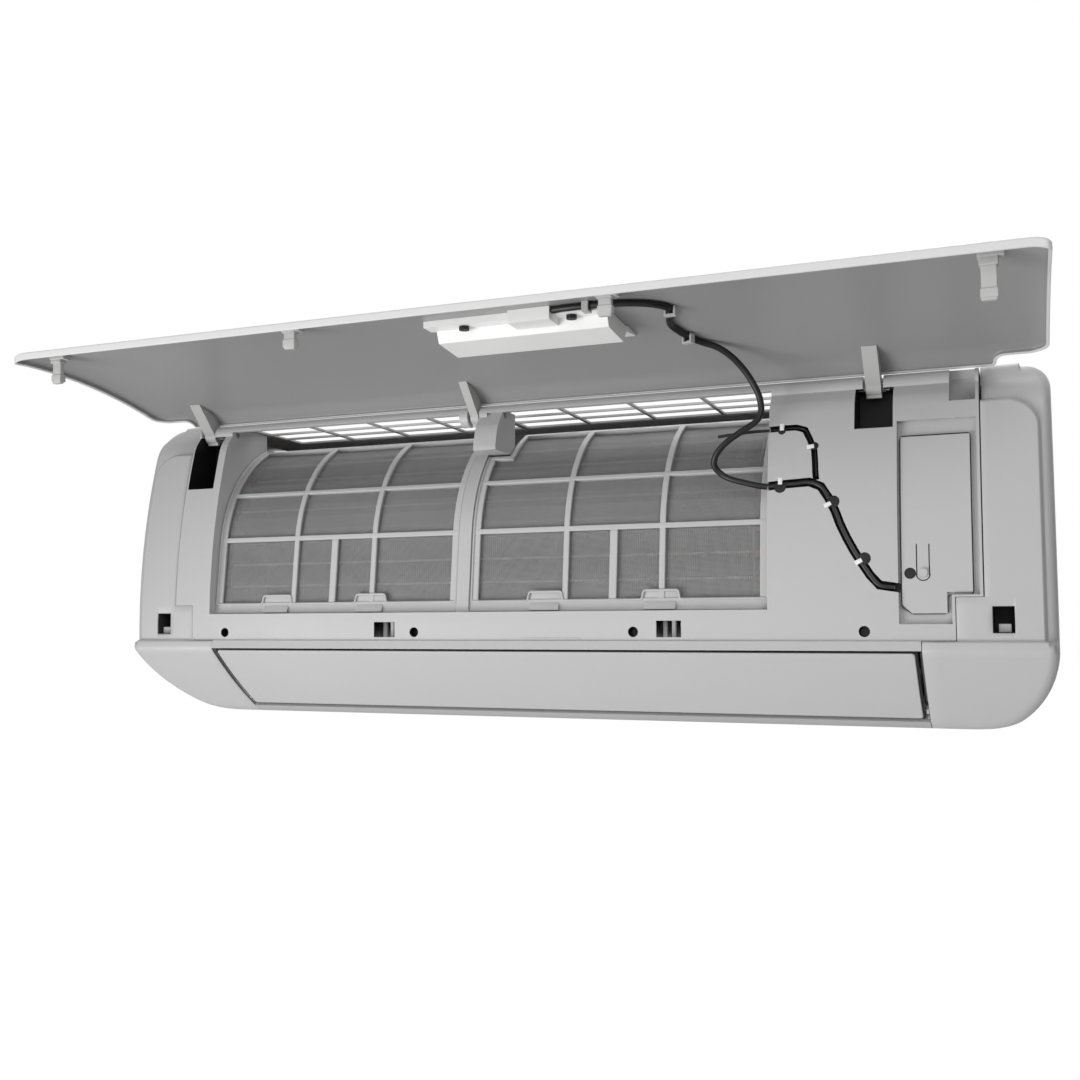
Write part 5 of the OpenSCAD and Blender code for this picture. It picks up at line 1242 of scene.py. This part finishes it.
class UNIT_OT_filters(Operator):
    """Builds the filter frames with their ribs, lips and grip tabs, and the woven nets behind them"""
    bl_idname = "unit.filters"
    bl_label = "Filters"
    # side view: a straight foot that leans from height low, then an arc up to heading last
    centre, radius, low = (-66.0, 15.0), 120.5, -42.7
    lean, last = math.radians(5), math.radians(67)
    net_radius = 116.4
    # ends along the body, and heights of the crossbars
    spans = {"left": (-328.7, -69.8), "right": (-57.2, 207.2)}
    bars = (28.5, 74.1)
    # cut-out of the right filter beside the middle hinge bracket, as x and height
    bracket = (-36.0, 100.5)
    # half widths of the outer, inner and short uprights, of the foot, the crossbars, the head and the cut-out
    outer, inner, short = 4.0, 2.6, 3.4
    foot, low_bar, high_bar, head, cut = 5.2, 2.3, 2.0, 3.0, 2.2
    # where the grip tabs stand, as shares of the length, and the lip's corners round one
    tabs, tab_lip = (0.27, 0.66), ((17.5, 9), (16.3, 9.6), (15.2, 15.6), (13.8, 16.8))
    # a tab's slope by its corners, as half width, length up the curve and depth: the front's, then the back's
    tab_slope = ((13.6, 0.5, -4.6), (12.6, 9.5, 1.2), (13.6, 0.5, 1.0), (12.6, 9.5, 3.6))
    # distance of the lip from the frame's ends, and its place up the curve between the tabs
    edge, lip_at = 1.3, 9

    def run(self, z):
        """Length along the frame's curve from its foot up to a height."""
        foot = self.centre[1] + self.radius * math.sin(self.lean)
        if z < foot:
            return (z - self.low) / math.cos(self.lean)
        turn = math.asin((z - self.centre[1]) / self.radius)
        return (foot - self.low) / math.cos(self.lean) + self.radius * (turn - self.lean)

    def place(self, x, s, depth):
        """Points and normals at places along the body, lengths up the curve and depths below its face."""
        x, s, depth = np.broadcast_arrays(*(np.asarray(v, float) for v in (x, s, depth)))
        rise = (self.centre[1] + self.radius * math.sin(self.lean) - self.low) / math.cos(self.lean)
        t = np.where(s < rise, self.lean, self.lean + (s - rise) / self.radius)
        back = np.minimum(s - rise, 0)
        y = self.centre[0] - (self.radius - depth) * np.cos(t) + back * math.sin(self.lean)
        z = self.centre[1] + (self.radius - depth) * np.sin(t) + back * math.cos(self.lean)
        return np.stack([x, y, z], -1), np.stack([0 * x, -np.cos(t), np.sin(t)], -1)

    def upright(self, x, s0, s1, half):
        """Rib that follows the curve."""
        return bar(*self.place(x, np.linspace(s0, s1, max(int((s1 - s0) / 4), 2)), 0.4), half, 4.0)

    def level(self, x0, x1, s, half, depth=0.0, height=4.0):
        """Rib along the body."""
        return bar(*self.place(np.linspace(x0, x1, 3), s, depth), half, height)

    def lip(self, corners, radius=1.1):
        """Round ridge through corners given as x and length up the curve."""
        path = self.place(*evenly(corners, 1.5), 0.2)[0]
        return swept(path * MM, radius * MM, 8)

    def tab(self, x):
        """A grip tab: its flat top, and the slope that leads down from it."""
        corners = [self.place(x + sign * half, s, depth)[0]
                   for sign in (-1, 1) for half, s, depth in self.tab_slope]
        return [self.level(x - 15, x + 15, 13.2, 3.6, 1.2, 2.8),
                (np.array(corners) * MM, block((0, 0, 0), (1, 1, 1))[1])]

    def frame(self, side):
        """One filter's frame."""
        x0, x1 = self.spans[side]
        top = self.run(self.centre[1] + self.radius * math.sin(self.last))
        inset = 3.5
        pitch = (x1 - x0 - 2 * inset) / 3
        ribs = [x0 + inset + k * pitch for k in range(4)]
        low, high = (self.run(z) for z in self.bars)
        notch = self.run(self.bracket[1]) if side == "right" else top
        parts = [self.upright(ribs[0], 0, notch, self.outer), self.upright(ribs[3], 0, top, self.outer)]
        parts += [self.upright(x, 8, top, self.inner) for x in ribs[1:3]]
        parts += [self.upright((ribs[1] + ribs[2]) / 2, 8, low, self.short)]
        parts += [self.level(x0, x1, self.foot, self.foot),
                  self.level(x0 + 2, x1 - 2, low, self.low_bar, 0.2),
                  self.level(x0 + 2, x1 - 2, high, self.high_bar, 0.2)]
        left = x0
        if side == "right":
            left = self.bracket[0]
            parts += [self.upright(left + self.cut, notch - 2.5, top, self.cut),
                      self.level(x0, left + 4, notch - self.cut, self.cut)]
        parts += [self.level(left, x1, top - self.head, self.head, 0.3)]
        ridge = [(x0 + self.edge, notch - 1), (x0 + self.edge, self.lip_at)]
        for share in self.tabs:
            x = x0 + share * (x1 - x0)
            ridge += [(x - half, s) for half, s in self.tab_lip]
            ridge += [(x + half, s) for half, s in reversed(self.tab_lip)]
            parts += self.tab(x)
        ridge += [(x1 - self.edge, self.lip_at), (x1 - self.edge, top - 1)]
        parts += [self.lip(ridge)]
        return joined(parts)

    def execute(self, context):
        for side in ("left", "right"):
            made = solid("filter_frame_" + side, *self.frame(side), "filter_plastic")
            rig.replaces(made, "filter_" + side)
            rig.ride(made, body_of("filter_" + side))
            node = "mesh_" + side
            source = frame["nodes"][node].data
            points = np.array([v.co[:] for v in source.vertices])
            faces = [p.vertices[:] for p in source.polygons]
            x, y, z = points.T / MM
            around = np.arctan2(z - self.centre[1], self.centre[0] - y)
            flat = np.stack([x, around * self.net_radius], -1)
            made = piece("net_" + side, points, faces, "filter_mesh", False, flat)
            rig.replaces(made, node)
            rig.ride(made, body_of(node))
        return {"FINISHED"}


class UNIT_OT_exchanger(Operator):
    """Builds the pressed fins and the tubes through them, with skins on the bends, sheets and pipes"""
    bl_idname = "unit.exchanger"
    bl_label = "Heat exchanger"
    # node, y and z of its low front corner, slope in degrees and height
    blocks = (("coil_lower", -178.0, -47.7, 0.0, 81.7), ("coil_upper", -172.0, 50.0, -38.0, 80.0),
              ("coil_rear", -50.0, 31.4, 38.0, 84.0))
    left, right, depth = -319.8, 192.0, 25.0
    # rows of tubes as shares of the depth, their levels as quarters of the height, and a tube's radius
    tube_rows, tube_levels, tube_radius = (0.25, 0.75), (1, 3), 3.5 * MM

    def place(self, block, x, y, z):
        """Points of a block's own depth y and height z, turned by its slope and put in place."""
        turn = math.radians(block[3])
        return np.stack([x, block[1] + y * math.cos(turn) - z * math.sin(turn),
                         block[2] + y * math.sin(turn) + z * math.cos(turn)], -1) * MM

    def fins(self, settings, block):
        """Fins side by side. Each is a thin closed sheet whose place along the body waves with its depth."""
        count = int((self.right - self.left) / (settings.spacing / MM))
        y = np.linspace(0, self.depth, 7)
        wave = settings.wave / MM * np.sin(y / self.depth * 4 * np.pi)
        outline_y = np.concatenate([y, y[::-1]])
        half = settings.thickness / MM / 2
        outline_x = np.concatenate([wave - half, (wave + half)[::-1]])
        start = self.left + 1 + settings.spacing / MM * np.arange(count)
        n = len(outline_y)
        x = (start[:, None, None] + outline_x[None, None, :]) + np.zeros((count, 2, 1))
        z = np.array([0, block[4]])[None, :, None] + np.zeros((count, 2, n))
        points = self.place(block, x, outline_y[None, None, :] + np.zeros((count, 2, 1)), z)
        flat = np.stack([x, z], -1).reshape(-1, 2)
        one = grid_faces(2, n, around=True)
        k = np.arange(len(y) - 1)
        low = np.stack([k, n - 1 - k, n - 2 - k, k + 1], -1)
        every = np.vstack([one, low[:, ::-1], low + n])
        faces = (every[None] + 2 * n * np.arange(count)[:, None, None]).reshape(-1, 4)
        return points.reshape(-1, 3), faces, flat

    def execute(self, context):
        settings = context.scene.unit_exchanger
        tubes = []
        for block in self.blocks:
            points, faces, flat = self.fins(settings, block)
            made = piece("fins_" + block[0][5:], points, faces, "fins", False, flat)
            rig.replaces(made, block[0])
            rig.ride(made, "body")
            for row in self.tube_rows:
                for level in self.tube_levels:
                    for side in (-0.5, 0.5):
                        z = block[4] * level / 4 + side * settings.tube_spacing / MM
                        x = np.linspace(self.left, self.right, 3)
                        line = self.place(block, x, np.full(3, row * self.depth), np.full(3, z))
                        tubes.append(swept(line, self.tube_radius, 16))
        made = piece("exchanger_tubes", *joined(tubes), "copper")
        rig.ride(made, "body")
        for node in ("tube_sheets", "return_bends", "gas_pipe", "liquid_pipe", "flare_unions"):
            smoothed(node)
        return {"FINISHED"}


class UNIT_OT_air(Operator):
    """Builds the louver's blade over a black lining that paints the shade in the gap round it, with skins on the
    vanes, their links and the fan
    """
    bl_idname = "unit.air"
    bl_label = "Air guides and fan"
    # the louver's first and last heading on the underside's arc
    centre, radius, first, last = UNDER[:2], UNDER[2], math.radians(-43.8), math.radians(-33)
    # half length, distances from the arc's start and end, and corner radius
    blade, seal = (318.8, 0.9, 2.3, 2.5), (320.8, 0.2, 0.3, 1.0)
    # the rim of the black lining, which paints the shade in the gap round the blade, and the depth down to which the
    # CAD louver's faces make way for the blade
    seal_rim, blade_depth = ((-0.2, 1.3), (0, 1.5), (0, 2.3), (-0.2, 2.48)), 2.55

    def place(self, x, s, depth):
        """Points at lengths along the underside's arc and depths inside it."""
        a = self.first + s / self.radius
        r = self.radius - depth
        return np.stack([x, self.centre[0] + r * np.sin(a), self.centre[1] - r * np.cos(a)], -1)

    def plate(self, name, size, rings, slot):
        """A plate that follows the arc, of a size as in blade and seal."""
        half, low, short, r = size
        high = self.radius * (self.last - self.first) - short
        side = (corner(half - r, low + r, r, -90, 0) + straight(half, low + r, high - r, 6)
                + corner(half - r, high - r, r, 0, 90))
        made = solid(name, *rounded_sheet(side, 41, self.place, rings), slot)
        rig.ride(made, "louver")

    def under_blade(self, centres):
        """Faces of the CAD louver that the blade takes the place of."""
        away = np.hypot(centres[:, 1] - self.centre[0], centres[:, 2] - self.centre[1])
        return away > self.radius - self.blade_depth

    def execute(self, context):
        turns = np.radians(np.linspace(0, 90, 4))
        soft = 0.8
        rings = [(-soft * (1 - math.sin(a)), soft * (1 - math.cos(a))) for a in turns]
        rings += [(0.0, 1.9), (-0.4, 2.3), (-0.9, 2.4)]
        self.plate("louver_blade", self.blade, rings, "casing_abs")
        # black lining behind the blade: painted shade in the gap round it
        self.plate("louver_seal", self.seal, self.seal_rim, "black_rubber")
        smoothed("louver", drop=self.under_blade)
        for node in ("louver_bushes", "louver_motor", "link_left", "link_right", "fan_wheel", "fan_shaft",
                     "fan_bush", "fan_motor", "motor_clamp"):
            smoothed(node)
        for side in "lr":
            for number in range(1, 6):
                smoothed(f"vane_{side}{number}")
        return {"FINISHED"}


class UNIT_OT_electrics(Operator):
    """Gives the control box, its board and its terminals their smooth skins"""
    bl_idname = "unit.electrics"
    bl_label = "Electrics"

    def execute(self, context):
        for node in ("control_box", "circuit_board", "terminal_block"):
            smoothed(node)
        return {"FINISHED"}


class UNIT_OT_stage(Operator):
    """Adds the pale floor, the soft lights and the white background"""
    bl_idname = "unit.stage"
    bl_label = "Stage"
    # all in metres: the floor's half width and height
    floor_half, floor_z = 15.0, -1.75
    # black flags beside the object, which darken its ends and aren't seen: distance, half size, middle's y
    flag_x, flag_half, flag_y = 0.72, 0.3, -0.28
    # lamps by their setting, as place, size and target
    lamps = (("key", (-1.5, -2.1, -1.0), 1.6, (-0.1, -0.15, 0.0)),
             ("fill", (1.4, -2.1, 0.9), 1.6, (0.2, -0.15, 0.0)),
             ("top", (0.0, 0.5, 1.2), 1.0, (0.0, -0.12, 0.1)))

    def lamp(self, name, place, size, target, power):
        """A square soft light of that size, turned from its place to the target."""
        data = bpy.data.lights.new(name, "AREA")
        data.shape = "SQUARE"
        data.size = size
        data.energy = power
        made = placed(name, data)
        made.location = place
        way = np.array(target) - np.array(place)
        made.rotation_euler = (math.atan2(math.hypot(way[0], way[1]), -way[2]), 0.0,
                               math.atan2(way[1], way[0]) - math.pi / 2)
        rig.stage(made)

    def sheet(self, name, columns, rows, points, material, seen=True):
        """A flat rectangle of the stage, from a grid of points stored row by row."""
        mesh = bpy.data.meshes.new(name)
        mesh.from_pydata(np.stack([np.ravel(v) for v in points], -1).tolist(), [],
                         grid_faces(rows, columns).tolist())
        mesh.materials.append(material)
        made = placed(name, mesh)
        made.visible_camera = seen
        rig.stage(made)

    def sky(self, scene):
        """White background for the camera and for mirrors, and a weaker even light for the rest."""
        world = bpy.data.worlds.new("Studio")
        world.use_nodes = True
        tree = world.node_tree
        tree.nodes.clear()
        path = add(tree, "LightPath").outputs
        direct = calc(tree, "MAXIMUM", path["Is Camera Ray"], path["Is Glossy Ray"])
        direct = calc(tree, "MAXIMUM", direct, path["Is Transmission Ray"])
        strength = add(tree, "MapRange", {"Value": direct, "To Min": scene.unit_stage.ambient, "To Max": 1.0})
        white = add(tree, "Background", {"Color": (1.0, 1.0, 1.0, 1.0), "Strength": strength.outputs[0]})
        add(tree, "OutputWorld", {"Surface": white.outputs[0]})
        scene.world = world
        scene.view_settings.view_transform = "Standard"

    def execute(self, context):
        self.sky(context.scene)
        # the floor throws pale light on the object and is plain white to the camera
        made, tree = blank("Pale floor")
        path = add(tree, "LightPath")
        bounce = add(tree, "BsdfDiffuse", {"Color": linear("f4f4f4")})
        white = add(tree, "Emission", {"Color": (1.0, 1.0, 1.0, 1.0), "Strength": 1.0})
        close(tree, add(tree, "MixShader", {0: path.outputs["Is Camera Ray"], 1: bounce.outputs[0],
                                            2: white.outputs[0]}))
        side = np.linspace(-self.floor_half, self.floor_half, 7)
        x, y = np.meshgrid(side, side)
        self.sheet("floor", 7, 7, (x, y, np.full(x.size, self.floor_z)), made)
        side = np.linspace(-self.flag_half, self.flag_half, 4)
        y, z = np.meshgrid(side + self.flag_y, side)
        for name, sign in (("flag_left", -1), ("flag_right", 1)):
            points = (np.full(y.size, sign * self.flag_x), y, z)
            self.sheet(name, 4, 4, points, finishes()["shadow_plastic"], seen=False)
        for name, place, size, target in self.lamps:
            self.lamp(name.title(), place, size, target, getattr(context.scene.unit_stage, name))
        return {"FINISHED"}


# Panel and registration

class UNIT_PT_builder(Panel):
    """Lists the build steps in the sidebar of the 3D view"""
    bl_idname = "UNIT_PT_builder"
    bl_label = "Split unit"
    bl_space_type = "VIEW_3D"
    bl_region_type = "UI"
    bl_category = "Split Unit"

    def draw(self, context):
        for step in STEPS:
            self.layout.operator(step.bl_idname)
        for group in GROUPS:
            box = self.layout.box()
            for key in group.__annotations__:
                box.prop(getattr(context.scene, GROUPS[group]), key)


GROUPS = {UnitFinish: "unit_finish", UnitExchanger: "unit_exchanger", UnitCords: "unit_cords",
          UnitStage: "unit_stage"}
STEPS = (UNIT_OT_camera, UNIT_OT_cords, UNIT_OT_casing, UNIT_OT_caps, UNIT_OT_lid, UNIT_OT_filters,
         UNIT_OT_exchanger, UNIT_OT_air, UNIT_OT_electrics, UNIT_OT_stage)


def register():
    """Registers every class and hangs the settings on the scene."""
    for cls in (*GROUPS, *STEPS, UNIT_PT_builder):
        bpy.utils.register_class(cls)
    for group, name in GROUPS.items():
        setattr(bpy.types.Scene, name, PointerProperty(type=group))


def unregister():
    """Takes the settings and the classes away again."""
    for name in GROUPS.values():
        delattr(bpy.types.Scene, name)
    for cls in reversed((*GROUPS, *STEPS, UNIT_PT_builder)):
        bpy.utils.unregister_class(cls)


def main():
    """Builds the whole model and writes the size before and after."""
    register()
    for step in STEPS:
        group, name = step.bl_idname.split(".")
        getattr(getattr(bpy.ops, group), name)()
    sizes = {"frame": [list(c) for c in loaded], "model": [list(c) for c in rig.bounds()]}
    with open("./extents.json", "w") as out:
        json.dump(sizes, out)


if __name__ == "__main__":
    main()
